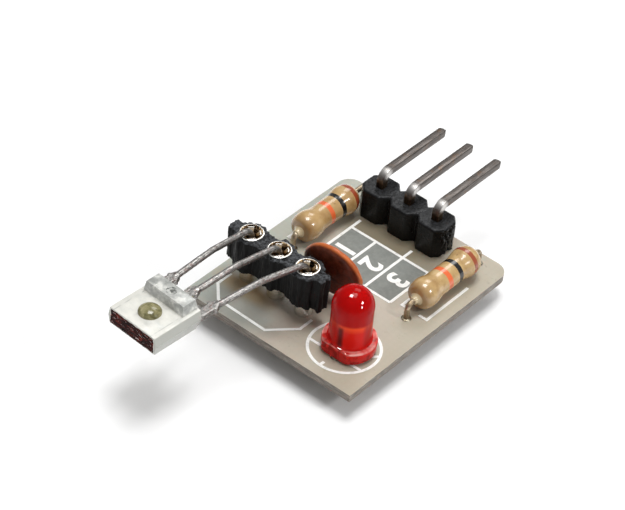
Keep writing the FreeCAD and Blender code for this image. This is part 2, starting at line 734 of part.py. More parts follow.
anvilHead = [(-neckX - halfLead, anvilFoot), (anvilInner - size("anvil_width"), anvilTop),
             (anvilInner, anvilTop), (anvilInner, anvilFoot), (-neckX + halfLead, anvilFoot - leadWidth)]
postHead = [(neckX - halfLead, anvilFoot - leadWidth), (postInner, anvilFoot), (postInner, anvilTop),
            (postOuter, anvilTop), (postOuter, anvilFoot), (neckX + halfLead, anvilFoot - leadWidth)]
cupOuter = size("cup_radius") + size("cup_wall_thickness")
cupMiddle = Vector(-cupX, 0, cupFloor)
cupBlock = prism(ringPoints(cupMiddle.x, 0, cupOuter, receiverFacets),
                 cupFloor - size("cup_wall_thickness"), size("cup_depth") + size("cup_wall_thickness"))
cupRings = []
for level, wide in ((cupFloor, 0.6 * size("cup_radius")), (anvilTop, size("cup_radius"))):
    points = [Vector(*point, level) for point in ringPoints(cupMiddle.x, 0, wide, receiverFacets)]
    cupRings.append(Part.makePolygon(points + points[:1]))
cupHollow = Part.makeLoft(cupRings, True, True)
anvil = lampFrame(-1, anvilHead).fuse(cupBlock).cut(cupHollow)
post = lampFrame(1, postHead)
halfChip = size("lamp_chip_width") / 2
lampChip = Part.makeBox(2 * halfChip, 2 * halfChip, size("lamp_chip_height"),
                        cupMiddle - Vector(halfChip, halfChip, 0))
onChip = cupMiddle + Vector(0, 0, size("lamp_chip_height"))
onPost = Vector((postInner + postOuter) / 2, 0, anvilTop)
bondTop = anvilTop + size("lamp_bond_height")
bondRoute = [onChip, Vector(onChip.x, 0, bondTop), Vector(onPost.x, 0, bondTop), onPost]
lampBond = bentWire(bondRoute, [halfChip, halfChip], size("bond_wire_radius"), bondFacets)
lampLens = flatCut.Shape.cut([anvil, post, lampChip, lampBond])
lampPieces = {"lamp_lens": lampLens, "lamp_anvil_lead": anvil, "lamp_post_lead": post,
              "lamp_chip": lampChip, "lamp_bond_wire": lampBond}
for name, shape in lampPieces.items():
    piece = addFeature(name, shape)
    piece.Placement.Rotation = Rotation(Vector(0, 0, 1), 90)
    place(piece, f"{leftExpression} + Sizes.lamp_left_distance",
          f"{frontExpression} + Sizes.lamp_front_distance", f"{topExpression} + Sizes.lamp_gap_height")


# Capacitor: a thick-middled disc that leans towards the sockets, with its coating drawn a
# little way down both leads
discRadius = size("disc_radius")
halfDisc = size("disc_thickness") / 2
discRim = [(0.6, 0.88), (0.95, 0.5), (1.0, 0)]
discFront = [(0, halfDisc)] + [(discRadius * out, halfDisc * share) for out, share in discRim]
discOutline = discFront + [(out, -y) for out, y in reversed(discFront[:-1])]
discCorners = [Vector(out, y, 0) for out, y in discOutline]
discFace = Part.Face(Part.makePolygon(discCorners + discCorners[:1]))
disc = discFace.revolve(Vector(0, 0, 0), Vector(0, 1, 0), 360)
discLevel = boardTop + size("disc_gap_height") + discRadius * math.cos(math.radians(size("disc_lean_angle")))
discTurn = Rotation(size("disc_yaw_angle"), 0, size("disc_lean_angle"))
disc.Placement = Placement(Vector(discX, discY, discLevel), discTurn)
discLeads = []
discCovers = []
coverRadius = size("disc_lead_radius") + size("disc_cover_thickness")
coverLevel = boardTop + size("disc_cover_height")
for end in (1, 2):
    x, y, radius = leadPlaces[f"capacitor_{end}"]
    discLeads.append(prism(ringPoints(x, y, radius), 0, discLevel - discRadius / 2))
    rings = []
    for level, wide in ((coverLevel, coverRadius), (coverLevel + size("disc_cover_length"), 1.5 * coverRadius)):
        points = [Vector(*point, level) for point in ringPoints(x, y, wide)]
        rings.append(Part.makePolygon(points + points[:1]))
    discCovers.append(Part.makeLoft(rings, True, True))
addFeature("capacitor_disc", disc.multiFuse(discCovers).cut(discLeads))
for number, wire in enumerate(discLeads, start=1):
    addFeature(f"capacitor_lead_{number}", wire)


# Resistors: turned bodies with a bulb at each end, and a bent lead at each end. The outline of
# a bulb is given in shares of its radius, outwards and from the body's end.
bulb = size("bulb_radius")
bulbOutline = [(0.42, 0), (0.9, 0.22), (1.0, 0.75)]
neckShare = 0.29
axisLevel = boardTop + bulb + size("resistor_gap_height")
for side, x in resistorX.items():
    near = nearLeadY + size(f"{side}_near_gap_length")
    far = farLeadY - size(f"{side}_far_gap_length")
    half = (far - near) / 2
    rearHalf = [(bulb * out, half - bulb * back) for out, back in bulbOutline]
    rearHalf.append((size("waist_radius"), half - neckShare * 2 * half))
    bodySide = [(0, half)] + rearHalf + [(out, -y) for out, y in reversed(rearHalf)] + [(0, -half)]
    resistor = newBody(f"resistor_body_{side}")
    gaps = f"(Sizes.{side}_near_gap_length - Sizes.{side}_far_gap_length) / 2"
    ends = "(Sizes.resistor_front_distance - Sizes.resistor_rear_distance) / 2"
    place(resistor, f"{leftExpression} + Sizes.{side}_resistor_left_distance",
          f"Sizes.board_shift_distance + {ends} + {gaps}",
          f"{topExpression} + Sizes.bulb_radius + Sizes.resistor_gap_height")
    profile = addSketch(resistor, f"resistor_side_{side}")
    drawOutline(profile, bodySide)
    addRevolution(resistor, f"resistor_turned_{side}", profile)
    for number, bodyEnd, holeY in ((1, near, nearLeadY), (2, far, farLeadY)):
        route = [Vector(x, bodyEnd, axisLevel), Vector(x, holeY, axisLevel), Vector(x, holeY, 0)]
        wire = bentWire(route, [size("resistor_bend_radius")], size("resistor_lead_radius"))
        addFeature(f"resistor_lead_{side}_{number}", wire)


doc.recompute()
for item in doc.Objects:
    if "Invalid" in item.State or "Error" in item.State:
        raise SystemExit(f"{item.Name} failed: {item.State}")
for node in nodes:
    if node.Shape.isNull() or not node.Shape.isValid() or not node.Shape.Solids:
        raise SystemExit(f"{node.Label} has no valid solid")

os.makedirs("parts", exist_ok=True)
for node in nodes:
    node.Shape.exportStep(f"parts/{node.Label}.step")
whole = Part.makeCompound([node.Shape for node in nodes]).BoundBox
print(len(nodes), "pieces", whole)
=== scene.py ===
import bpy
import bmesh
import math
from mathutils import Matrix, Vector, noise


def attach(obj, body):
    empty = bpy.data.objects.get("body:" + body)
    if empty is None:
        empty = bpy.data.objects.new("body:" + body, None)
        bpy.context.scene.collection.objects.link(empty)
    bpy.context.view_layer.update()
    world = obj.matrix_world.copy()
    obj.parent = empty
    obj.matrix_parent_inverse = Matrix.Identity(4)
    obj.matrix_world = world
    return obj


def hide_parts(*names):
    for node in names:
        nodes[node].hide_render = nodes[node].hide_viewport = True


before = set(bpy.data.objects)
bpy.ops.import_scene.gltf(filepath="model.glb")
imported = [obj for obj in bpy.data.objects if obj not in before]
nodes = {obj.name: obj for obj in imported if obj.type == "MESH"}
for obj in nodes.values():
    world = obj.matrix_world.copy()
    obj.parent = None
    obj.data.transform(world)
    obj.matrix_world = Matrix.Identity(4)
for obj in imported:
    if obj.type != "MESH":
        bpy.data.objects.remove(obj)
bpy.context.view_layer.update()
scene = bpy.context.scene
mm = 0.001
print("frame loaded:", len(nodes), "nodes")

# Places on the board, in millimetres, as the model has them. A row's X is that of its first contact
place = {
    "boardTop": 2.1,
    "headerX": -3.22,
    "headerY": 9.196,
    "socketX": -5.22,
    "socketY": -2.874,
    "spacing": 2.54,
    "lamp": (4.4, -3.424),
    "disc": (0.42, -0.624),
    "resistorX": {"left": -5.05, "right": 5.35},
    "resistorEnds": {"left": (2.326, 8.226), "right": (2.676, 9.076)},
    "resistorHoles": (1.726, 9.926),
    "resistorLevel": 3.30,
    "receiver": (-3.77, -12.024, 6.52),
    "receiverYaw": -3.3,
}
top = place["boardTop"]


# Finishes: every one reads Object coordinates, turned into millimetres by a Mapping node

# A node in the same tree as the one given. Each value is a plain one, or a socket to link
def addNode(near, kind, values=(), **settings):
    tree = near.id_data
    node = tree.nodes.new(kind)
    for key, value in settings.items():
        setattr(node, key, value)
    for socket, value in dict(values).items():
        if isinstance(value, bpy.types.NodeSocket):
            tree.links.new(value, node.inputs[socket])
        else:
            node.inputs[socket].default_value = value
    return node


# The shader of a new material, with plain values on its own sockets
def startFinish(name, roughness, metallic=0.0, **sockets):
    material = bpy.data.materials.new(name)
    material.use_nodes = True
    shader = material.node_tree.nodes["Principled BSDF"]
    for socket, value in {"Roughness": roughness, "Metallic": metallic, **sockets}.items():
        shader.inputs[socket.replace("_", " ")].default_value = value
    return shader


def tint(shader, color, roughness=None):
    for socket, source in (("Base Color", color), ("Roughness", roughness)):
        if source is not None:
            shader.id_data.links.new(source, shader.inputs[socket])


# Bump by a height in millimetres, on top of any bump that the shader has
def relief(shader, height, strength, depth):
    bump = addNode(shader, "ShaderNodeBump", {"Strength": strength, "Distance": depth * mm, "Height": height})
    normal = shader.inputs["Normal"]
    if normal.is_linked:
        shader.id_data.links.new(normal.links[0].from_socket, bump.inputs["Normal"])
    shader.id_data.links.new(bump.outputs["Normal"], normal)


# Object coordinates in millimetres, stretched and turned
def millimetres(near, stretch=(1, 1, 1), turn=(0, 0, 0)):
    coordinates = addNode(near, "ShaderNodeTexCoord")
    return addNode(near, "ShaderNodeMapping", {
        "Vector": coordinates.outputs["Object"], "Scale": tuple(1000 * value for value in stretch),
        "Rotation": turn}).outputs["Vector"]


def grain(where, scale, detail=3, roughness=0.5, distortion=0.0):
    return addNode(where, "ShaderNodeTexNoise", {
        "Vector": where, "Scale": scale, "Detail": detail, "Roughness": roughness,
        "Distortion": distortion}).outputs["Fac"]


def ramp(factor, *stops):
    node = addNode(factor, "ShaderNodeValToRGB", {"Fac": factor})
    elements = node.color_ramp.elements
    while len(elements) < len(stops):
        elements.new(0.5)
    for element, (position, *color) in zip(elements, stops):
        element.position = position
        element.color = (*color, 1)
    return node.outputs["Color"]


def greyRamp(factor, low, high, start=0.3, end=0.7):
    return ramp(factor, (start, low, low, low), (end, high, high, high))


# The factor and the second colour may be plain, and the first colour is a socket
def blend(factor, first, second, mode="MIX"):
    other = second if isinstance(second, bpy.types.NodeSocket) else (*second, 1)
    return addNode(first, "ShaderNodeMix", {0: factor, 6: first, 7: other}, data_type="RGBA",
                   blend_type=mode).outputs[2]


def calc(operation, first, second=0.0):
    return addNode(first, "ShaderNodeMath", {0: first, 1: second}, operation=operation).outputs[0]


def plus(first, second):
    return calc("ADD", first, second)


def minus(first, second):
    return calc("SUBTRACT", first, second)


def times(first, *others):
    for other in others:
        first = calc("MULTIPLY", first, other)
    return first


def absolute(value):
    return calc("ABSOLUTE", value)


def above(value, limit):
    return calc("GREATER_THAN", value, limit)


def below(value, limit):
    return calc("LESS_THAN", value, limit)


def diagonal(first, second):
    return calc("SQRT", plus(times(first, first), times(second, second)))


# Goes from low to high while the value goes from start to end
def fade(value, start, end, low=0.0, high=1.0):
    return addNode(value, "ShaderNodeMapRange", {
        "Value": value, "From Min": start, "From Max": end, "To Min": low, "To Max": high}).outputs["Result"]


# Gives a vector, or a number where the operation does
def vectorCalc(operation, first, second=(0, 0, 0)):
    node = addNode(first, "ShaderNodeVectorMath", {0: first, 1: second}, operation=operation)
    return node.outputs["Vector" if operation in ("SUBTRACT", "MULTIPLY") else "Value"]


def axes(where):
    return addNode(where, "ShaderNodeSeparateXYZ", {"Vector": where}).outputs


# Middle, half sizes, strength and colour of the shades that show through the board. The first, in front of
# the header, is also painted shadow of the header
boardPatchesAndShadow = [
    ((-0.7, 7.3), (5.4, 2.0), 0.8, (0.15, 0.125, 0.07)),
    ((-4.4, -4.0), (2.6, 1.1), 0.75, (0.42, 0.26, 0.1)),
    ((-5.0, 0.4), (1.7, 2.2), 0.25, (0.3, 0.29, 0.2)),
    ((2.7, -1.2), (1.6, 1.9), 0.3, (0.27, 0.23, 0.17)),
    ((-4.2, -5.7), (3.9, 1.9), 0.55, (0.2, 0.215, 0.2)),
]


# Bare glass-fibre board: warm grey, cooler to the left, browner to the right, with rough edges whose darkness
# is partly painted shade
def laminateFinish():
    shader = startFinish("laminate", 0.4, IOR=1.5, Subsurface_Weight=0.1, Subsurface_Scale=0.5 * mm)
    where = millimetres(shader)
    parts = axes(where)
    clouds = grain(where, 0.16, 4, 0.55)
    across = plus(times(parts["X"], 0.05), times(clouds, 0.9))
    body = ramp(across, (0.05, 0.42, 0.435, 0.375), (0.42, 0.475, 0.415, 0.345), (0.85, 0.42, 0.38, 0.295))
    threads = times(*(addNode(where, "ShaderNodeTexWave", {
        "Vector": where, "Scale": 0.68, "Distortion": 0.6, "Detail": 1.5}, wave_type="BANDS",
        bands_direction=direction).outputs["Fac"] for direction in ("X", "Y")))
    body = blend(0.05, body, greyRamp(threads, 0.55, 1.0, 0.0, 0.8), "MULTIPLY")
    body = blend(0.6, body, greyRamp(grain(where, 2.6, 2, 0.6), 1.0, 0.72, 0.66, 0.74), "MULTIPLY")
    # The first patch, in front of the header, is partly painted shadow of the header
    for (x, y), (wide, deep), strength, patchColor in boardPatchesAndShadow:
        away = vectorCalc("MULTIPLY", vectorCalc("SUBTRACT", where, (x, y, 0)), (1 / wide, 1 / deep, 0))
        uneven = plus(vectorCalc("LENGTH", away), times(minus(clouds, 0.5), 0.9))
        body = blend(fade(uneven, 0.55, 1.15, strength, 0.0), body, patchColor)
    fibres = grain(millimetres(shader, (1.2, 1.2, 16)), 1.0, 4, 0.65)
    edge = ramp(fibres, (0.3, 0.07, 0.055, 0.042), (0.52, 0.19, 0.16, 0.13), (0.72, 0.42, 0.38, 0.32))
    # The side faces below the top take the dark fibre colour: fibre streaks with painted shade
    tint(shader, blend(below(parts["Z"], top - 0.015), body, edge), greyRamp(grain(where, 0.9), 0.34, 0.52))
    relief(shader, threads, 0.12, 0.01)
    relief(shader, grain(where, 7, 2), 0.15, 0.01)


# One grain for the colour and one for the bump. A grain is its scale, detail, roughness and distortion
def grainFinish(name, roughness, pattern, stops, bump, strength, depth, **sockets):
    shader = startFinish(name, roughness, **sockets)
    where = millimetres(shader)
    tint(shader, ramp(grain(where, *pattern), *stops))
    relief(shader, grain(where, *bump), strength, depth)


# Black moulding with grey dust in its grain, and a lighter top above the crown's level, partly dust and
# partly painted light.
# Coarse is the size of the lumps in millimetres.
def mouldingFinish(name, tone, dust, coarse, roughness, gloss, crown, crownDustAndLight):
    shader = startFinish(name, roughness, Specular_IOR_Level=gloss)
    where = millimetres(shader)
    fine = grain(where, 3.2 / coarse, 4, 0.65)
    body = ramp(fine, (0.35, tone * 0.7, tone * 0.7, tone * 0.75), (0.58, tone, tone, tone),
                (0.8, dust, dust, dust * 0.97))
    flecks = greyRamp(grain(where, 5.5 / coarse, 2, 0.4), 0.0, 1.0, 0.7, 0.76)
    body = blend(times(flecks, 0.5), body, (dust * 1.8, dust * 1.75, dust * 1.7))
    dustAndLightPatches = greyRamp(grain(where, 5.0, 3, 0.7), 0.1, 1.0, 0.4, 0.62)
    # Painted light with dust: the top above the crown's level is lighter grey
    body = blend(times(above(axes(where)["Z"], crown), dustAndLightPatches), body,
                 (crownDustAndLight * 0.95, crownDustAndLight, crownDustAndLight * 1.08))
    tint(shader, body, greyRamp(fine, roughness * 0.75, roughness * 1.25))
    relief(shader, grain(where, 1.6 / coarse), 0.4, 0.06 * coarse)
    relief(shader, fine, 0.35, 0.03 * coarse)


# Plated or drawn metal: streaks along its length, and spots of tarnish, which on the receiver leads are a
# painted reflection of the red lamp
def metalFinish(name, low, high, roughness, scale, spots=0.0, tarnishAndReflectionColor=(0.1, 0.06, 0.04),
                stretch=(1, 1, 1)):
    shader = startFinish(name, roughness, 1.0)
    where = millimetres(shader, stretch)
    streaks = grain(where, scale, 5, 0.6)
    body = ramp(streaks, (0.3, *low), (0.68, *high))
    if spots:
        tarnishAndReflectionMask = greyRamp(grain(millimetres(shader), scale * 0.7, 3, 0.6), 0.0, spots, 0.52, 0.66)
        body = blend(tarnishAndReflectionMask, body, tarnishAndReflectionColor)
    tint(shader, body, greyRamp(streaks, roughness * 1.3, roughness * 0.8))
    relief(shader, grain(where, scale * 2.5), 0.3, 0.02)


pinLook = {"edge": 0.06, "bendLevel": 5.62, "bendAhead": 0.3}


# Dull pins: brown in the riser, darkened by a painted reflection of the dark housing, a painted pale
# highlight where they bend, and grey along the run
def pinFinish():
    shader = startFinish("pinPlate", 0.42, 1.0)
    where = millimetres(shader)
    parts = axes(where)
    streaks = grain(millimetres(shader, (3, 0.3, 3)), 2.2, 5, 0.6)
    patches = grain(where, 1.9, 3, 0.6)
    body = ramp(streaks, (0.3, 0.08, 0.07, 0.063), (0.7, 0.19, 0.172, 0.16))
    body = blend(greyRamp(patches, 0.0, 0.5, 0.55, 0.7), body, (0.2, 0.12, 0.07))
    # Painted highlight round the bend
    fromBend = diagonal(minus(parts["Y"], place["headerY"] + pinLook["bendAhead"]),
                        minus(parts["Z"], pinLook["bendLevel"]))
    body = blend(fade(fromBend, 0.2, 0.52, 0.7, 0.0), body, (0.95, 0.93, 0.9))
    # Painted reflection: the riser is dark brown
    riserReflection = ramp(patches, (0.35, 0.035, 0.02, 0.012), (0.6, 0.15, 0.095, 0.05))
    tint(shader, blend(fade(parts["Z"], 5.05, 5.45, 0.9, 0.0), body, riserReflection), greyRamp(streaks, 0.5, 0.34))
    relief(shader, streaks, 0.25, 0.015)


# Distance from the middle of the nearest socket contact, in millimetres
def contactReach(parts):
    step = calc("DIVIDE", minus(parts["X"], place["socketX"]), place["spacing"])
    aside = times(minus(step, calc("ROUND", step)), place["spacing"])
    return diagonal(aside, minus(parts["Y"], place["socketY"]))


# Bright turned sleeve with painted shade, in a brown and gold jumble, down its bore
def sleeveFinish():
    shader = startFinish("sleevePlate", 0.2, 1.0)
    where = millimetres(shader)
    parts = axes(where)
    streaks = grain(millimetres(shader, (1, 1, 4)), 1.6, 5, 0.6)
    body = ramp(streaks, (0.3, 0.62, 0.61, 0.57), (0.68, 0.93, 0.92, 0.88))
    # Painted shade down the bore: dark, with brown and gold patches
    deep = times(below(contactReach(parts), 0.79), above(parts["Z"], 3.9))
    boreShadeAndGold = ramp(grain(where, 3.4, 3, 0.6), (0.4, 0.012, 0.01, 0.008), (0.5, 0.22, 0.13, 0.06),
                  (0.62, 0.75, 0.58, 0.36))
    tint(shader, blend(deep, body, boreShadeAndGold), plus(times(deep, 0.5), 0.2))
    relief(shader, grain(where, 4), 0.2, 0.015)


# Sprung fingers: silver at the rim, gold lower down, and brown at the bottom from painted shade
def clipFinish():
    shader = startFinish("clipGold", 0.26, 1.0)
    where = millimetres(shader)
    worn = times(minus(grain(where, 2.6, 4, 0.6), 0.5), 0.7)
    # Painted shade: darker brown towards the bottom of the bore
    share = plus(fade(contactReach(axes(where)), 0.26, 0.68), worn)
    tint(shader, ramp(share, (0.0, 0.2, 0.1, 0.045), (0.3, 0.6, 0.4, 0.2), (0.65, 0.84, 0.66, 0.44),
                      (0.85, 0.92, 0.89, 0.84)))
    relief(shader, grain(where, 4), 0.35, 0.03)


# Clear epoxy with a milky cast, lines a little inside its edges, painted shade on its sides, and a greyer
# raised bar
def clearFinish():
    shader = startFinish("clearEpoxy", 0.14, IOR=1.5, Transmission_Weight=0.3)
    where = millimetres(shader)
    x, y, z = place["receiver"]
    haze = grain(where, 1.1, 4, 0.6)
    body = ramp(haze, (0.3, 0.78, 0.79, 0.74), (0.5, 0.93, 0.92, 0.85), (0.68, 1.0, 0.99, 0.92))
    yaw = math.radians(place["receiverYaw"])
    across = absolute(vectorCalc("DOT_PRODUCT", vectorCalc("SUBTRACT", where, (x, y, 0)),
                                 (math.cos(yaw), math.sin(yaw), 0)))
    line = times(greyRamp(absolute(minus(across, 1.74)), 1.0, 0.0, 0.01, 0.06),
                 greyRamp(grain(where, 1.6, 2), 0.0, 0.55, 0.42, 0.58))
    body = blend(line, body, (0.42, 0.43, 0.4))
    # Painted shade: the sides are darker grey than the top
    body = blend(above(across, 2.115), body, (0.62, 0.63, 0.58))
    bar = ramp(grain(where, 1.3, 3, 0.6), (0.34, 0.4, 0.41, 0.39), (0.5, 0.62, 0.63, 0.6),
               (0.62, 0.95, 0.95, 0.9))
    dark = times(below(vectorCalc("DISTANCE", where, (x + 0.02, y - 0.75, 7.9)), 0.42),
                 greyRamp(grain(where, 4.5, 2), 0.1, 0.85, 0.42, 0.55))
    bar = blend(dark, bar, (0.09, 0.095, 0.09))
    tint(shader, blend(above(axes(where)["Z"], z + 0.8), body, bar), greyRamp(haze, 0.06, 0.3, 0.35, 0.75))
    relief(shader, grain(where, 0.8, 2), 0.35, 0.08)
    relief(shader, grain(where, 5), 0.2, 0.02)


# Dark red-brown broken skin with pale streaks along it, partly a painted dark reflection with painted streak
# highlights
def brokenFinish():
    shader = startFinish("brokenSkin", 0.5, Specular_IOR_Level=0.05)
    streaks = grain(millimetres(shader, (0.8, 1, 2.4), (0, math.radians(4), 0)), 1.6, 5, 0.7, 1.0)
    body = ramp(streaks, (0.4, 0.006, 0.002, 0.002), (0.54, 0.035, 0.004, 0.003), (0.64, 0.3, 0.045, 0.03))
    chipsAndGlints = grain(millimetres(shader, (0.7, 1, 2.6), (0, math.radians(7), 0)), 2.3, 4, 0.7, 1.5)
    tint(shader, blend(greyRamp(chipsAndGlints, 0.0, 1.0, 0.625, 0.65), body, (0.93, 0.8, 0.76)))
    relief(shader, streaks, 0.7, 0.08)


lampLook = {"radius": 1.5, "flange": 1.95, "flat": 1.62, "flangeHeight": 0.95, "height": 5.23, "gap": 0.15}


# Red epoxy with its light painted in: a deep red dome over a brighter body, a painted bright band where the
# leads end, and the anvil's dark bar below it
def lampFinish():
    shader = startFinish("lampRed", 0.03, IOR=1.2, Transmission_Weight=0.12)
    where = millimetres(shader)
    height = minus(axes(where)["Z"], top + lampLook["gap"])
    share = plus(calc("DIVIDE", height, lampLook["height"]), times(minus(grain(where, 0.9, 2), 0.5), 0.07))
    # Painted light: the body below the dome is brighter, with a bright glowing band where the leads end
    color = ramp(share, (0.04, 0.6, 0.03, 0.025), (0.16, 0.7, 0.02, 0.014), (0.24, 0.7, 0.006, 0.003),
                 (0.46, 0.78, 0.012, 0.005), (0.545, 1.0, 0.08, 0.018), (0.585, 0.5, 0.003, 0.002),
                 (0.9, 0.46, 0.002, 0.002))
    fromMiddle = vectorCalc("SUBTRACT", where, (*place["lamp"], 0))
    aside = vectorCalc("DOT_PRODUCT", fromMiddle, (0.8, 0.6, 0))
    ahead = vectorCalc("DOT_PRODUCT", fromMiddle, (0.6, -0.8, 0))
    # Painted shade: darker red towards the sides
    paintedSideShade = times(greyRamp(absolute(minus(aside, 0.05)), 0.0, 0.75, 0.75, 1.35),
                greyRamp(share, 0.0, 1.0, 0.17, 0.24))
    color = blend(paintedSideShade, color, (0.4, 0.003, 0.003))
    bar = times(greyRamp(absolute(plus(aside, 0.68)), 0.85, 0.0, 0.08, 0.26), above(ahead, 0),
                greyRamp(share, 1.0, 0.0, 0.5, 0.56), greyRamp(share, 0.0, 1.0, 0.19, 0.23))
    color = blend(bar, color, (0.06, 0.002, 0.002))
    radius = vectorCalc("LENGTH", vectorCalc("MULTIPLY", fromMiddle, (1, 1, 0)))
    patches = times(above(radius, lampLook["radius"] + 0.04),
                    greyRamp(grain(where, 1.5, 3, 0.6, 0.8), 0.0, 0.75, 0.5, 0.62))
    color = blend(patches, color, (0.22, 0.003, 0.002))
    # Painted highlight: a pale line round the flange's top edge
    rim = times(greyRamp(absolute(minus(height, lampLook["flangeHeight"] - 0.06)), 1.0, 0.0, 0.03, 0.09),
                above(radius, 1.6), greyRamp(grain(where, 1.2, 2), 0.1, 0.85, 0.4, 0.6))
    tint(shader, blend(rim, color, (0.95, 0.5, 0.45)))
    relief(shader, grain(where, 1.4, 2), 0.015, 0.03)


discLook = {"radius": 2.42, "half": 0.55, "lean": 11.0, "yaw": 5.0, "level": 4.895, "leadY": -0.232,
            "skin": 0.06}


# Orange-brown dipped coating, with painted shade making the face that leans over the sockets dark brown
def dipFinish():
    shader = startFinish("orangeDip", 0.36, Specular_IOR_Level=0.25)
    where = millimetres(shader)
    body = ramp(grain(where, 1.3, 4, 0.6), (0.3, 0.4, 0.085, 0.02), (0.7, 0.6, 0.16, 0.042))
    body = blend(0.7, body, greyRamp(grain(where, 4.5, 2, 0.5), 1.0, 0.6, 0.62, 0.72), "MULTIPLY")
    yaw, lean = math.radians(discLook["yaw"]), math.radians(discLook["lean"])
    facing = Vector((math.sin(yaw) * math.cos(lean), -math.cos(yaw) * math.cos(lean), -math.sin(lean)))
    middle = facing.dot(Vector((*place["disc"], discLook["level"])))
    depth = minus(vectorCalc("DOT_PRODUCT", where, tuple(facing)), middle)
    # Painted shade on the face that leans over the sockets
    paintedShadeBrown = ramp(grain(where, 2.1, 3, 0.6), (0.35, 0.06, 0.011, 0.005), (0.65, 0.13, 0.027, 0.012))
    tint(shader, blend(fade(depth, 0.1, 0.22, 0.0, 0.95), body, paintedShadeBrown))
    relief(shader, grain(where, 1.1, 2), 0.3, 0.08)
    relief(shader, grain(where, 5), 0.25, 0.02)


# Middle, width and colour of each resistor's rings. The places are in millimetres along Y
rings = {
    "left": [(5.08, 0.42, (0.75, 0.14, 0.04)), (6.28, 0.36, (0.008, 0.007, 0.007)),
             (7.62, 0.4, (0.3, 0.055, 0.02))],
    "right": [(5.48, 0.44, (0.78, 0.15, 0.045)), (6.63, 0.4, (0.008, 0.007, 0.007)),
              (8.12, 0.36, (0.33, 0.075, 0.03))],
}


# Tan lacquer with three painted rings, paler ends, a browner near part from painted shade, and painted shade
# over the whole of the left one
def lacquerFinish(side, paintedShade):
    near, far = place["resistorEnds"][side]
    shader = startFinish(f"tanLacquer_{side}", 0.22, IOR=1.52, Coat_Weight=0.5, Coat_Roughness=0.06)
    where = millimetres(shader)
    along = plus(axes(where)["Y"], times(minus(grain(where, 1.1, 2), 0.5), 0.12))
    color = ramp(grain(where, 0.9, 4, 0.6), (0.3, 0.36, 0.21, 0.08), (0.52, 0.54, 0.36, 0.155),
                 (0.75, 0.7, 0.51, 0.27))
    # Painted shade: the left resistor is darker all over than the right
    color = blend(paintedShade, color, (0.4, 0.235, 0.09))
    # Painted shade: browner towards the near end
    color = blend(fade(along, near - 0.1, near + 0.75, 0.75, 0.0), color, (0.26, 0.14, 0.055))
    for end in (below(along, near), above(along, far)):
        color = blend(end, color, (0.58, 0.47, 0.29))
    for middle, width, paint in rings[side]:
        color = blend(below(absolute(minus(along, middle)), width / 2), color, paint)
    flecks = greyRamp(grain(where, 3.8, 2, 0.5), 1.0, 0.35, 0.69, 0.75)
    tint(shader, blend(0.5, color, flecks, "MULTIPLY"))
    relief(shader, grain(where, 1.4), 0.25, 0.05)


laminateFinish()
grainFinish("whiteInk", 0.5, (2.4, 4, 0.7),
            [(0.28, 0.62, 0.61, 0.57), (0.46, 0.88, 0.88, 0.85)], (9, 2), 0.3, 0.01)
grainFinish("fieldInk", 0.75, (3.5, 4, 0.6),
            [(0.3, 0.2, 0.21, 0.195), (0.7, 0.25, 0.26, 0.24)], (8, 2), 0.3, 0.01,
            Specular_IOR_Level=0.25)
grainFinish("lensYellow", 0.12, (1.7, 3, 0.6, 0.6),
            [(0.32, 0.13, 0.12, 0.05), (0.5, 0.3, 0.275, 0.13), (0.68, 0.55, 0.5, 0.29)],
            (2.2, 2), 0.3, 0.05, IOR=1.5, Transmission_Weight=0.25)
mouldingFinish("headerBlack", 0.006, 0.016, 0.8, 0.32, 0.2, 4.55, 0.03)
mouldingFinish("socketBlack", 0.007, 0.03, 0.3, 0.6, 0.16, 6.08, 0.085)
pinFinish()
sleeveFinish()
clipFinish()
# The receiver leads' reddish spots are a painted reflection of the red lamp
metalFinish("leadTin", (0.1, 0.095, 0.09), (0.46, 0.45, 0.43), 0.42, 6.0, 0.4, (0.24, 0.11, 0.095),
            (1.5, 0.7, 1.5))
metalFinish("wireTin", (0.3, 0.22, 0.13), (0.62, 0.53, 0.4), 0.42, 2.2, 0.4)
metalFinish("frameTin", (0.3, 0.28, 0.26), (0.6, 0.57, 0.53), 0.4, 1.8)
metalFinish("chipGrey", (0.05, 0.055, 0.07), (0.2, 0.21, 0.24), 0.25, 4.0)
metalFinish("solderTin", (0.42, 0.42, 0.41), (0.8, 0.8, 0.78), 0.24, 1.6, 0.25, (0.2, 0.17, 0.13))
metalFinish("collarTin", (0.26, 0.22, 0.14), (0.55, 0.5, 0.4), 0.34, 2.6, 0.4, (0.2, 0.14, 0.07))
metalFinish("copperTin", (0.36, 0.3, 0.2), (0.6, 0.53, 0.38), 0.34, 1.4, 0.4, (0.3, 0.14, 0.07),
            (1, 0.5, 1))
clearFinish()
brokenFinish()
lampFinish()
dipFinish()
lacquerFinish("left", 0.35)
lacquerFinish("right", 0.08)

# The model's own nodes that stay, and those that are hidden by a piece of the same finish
for finish, names in (("laminate", ["circuit_board"]), ("copperTin", ["copper_tracks"]),
                      ("clearEpoxy", ["receiver_package"]), ("lensYellow", ["receiver_lens"]),
                      ("chipGrey", ["receiver_chip", "lamp_chip"]),
                      ("clipGold", ["receiver_bond_wires", "lamp_bond_wire"]),
                      ("frameTin", ["lamp_anvil_lead", "lamp_post_lead"]),
                      ("wireTin", ["capacitor_lead_1", "capacitor_lead_2"])):
    for name in names:
        nodes[name].data.materials.clear()
        nodes[name].data.materials.append(bpy.data.materials[finish])
print("finishes made")


# Shapes

def moved(x, y, z):
    return Matrix.Translation(Vector((x, y, z)) * mm)


def turned(angle, axis):
    return Matrix.Rotation(math.radians(angle), 4, axis)


# The point at an angle on a circle
def polar(radius, angle):
    return radius * math.cos(math.radians(angle)), radius * math.sin(math.radians(angle))


def addObject(name, data):
    thing = bpy.data.objects.new(name, data)
    scene.collection.objects.link(thing)
    return thing


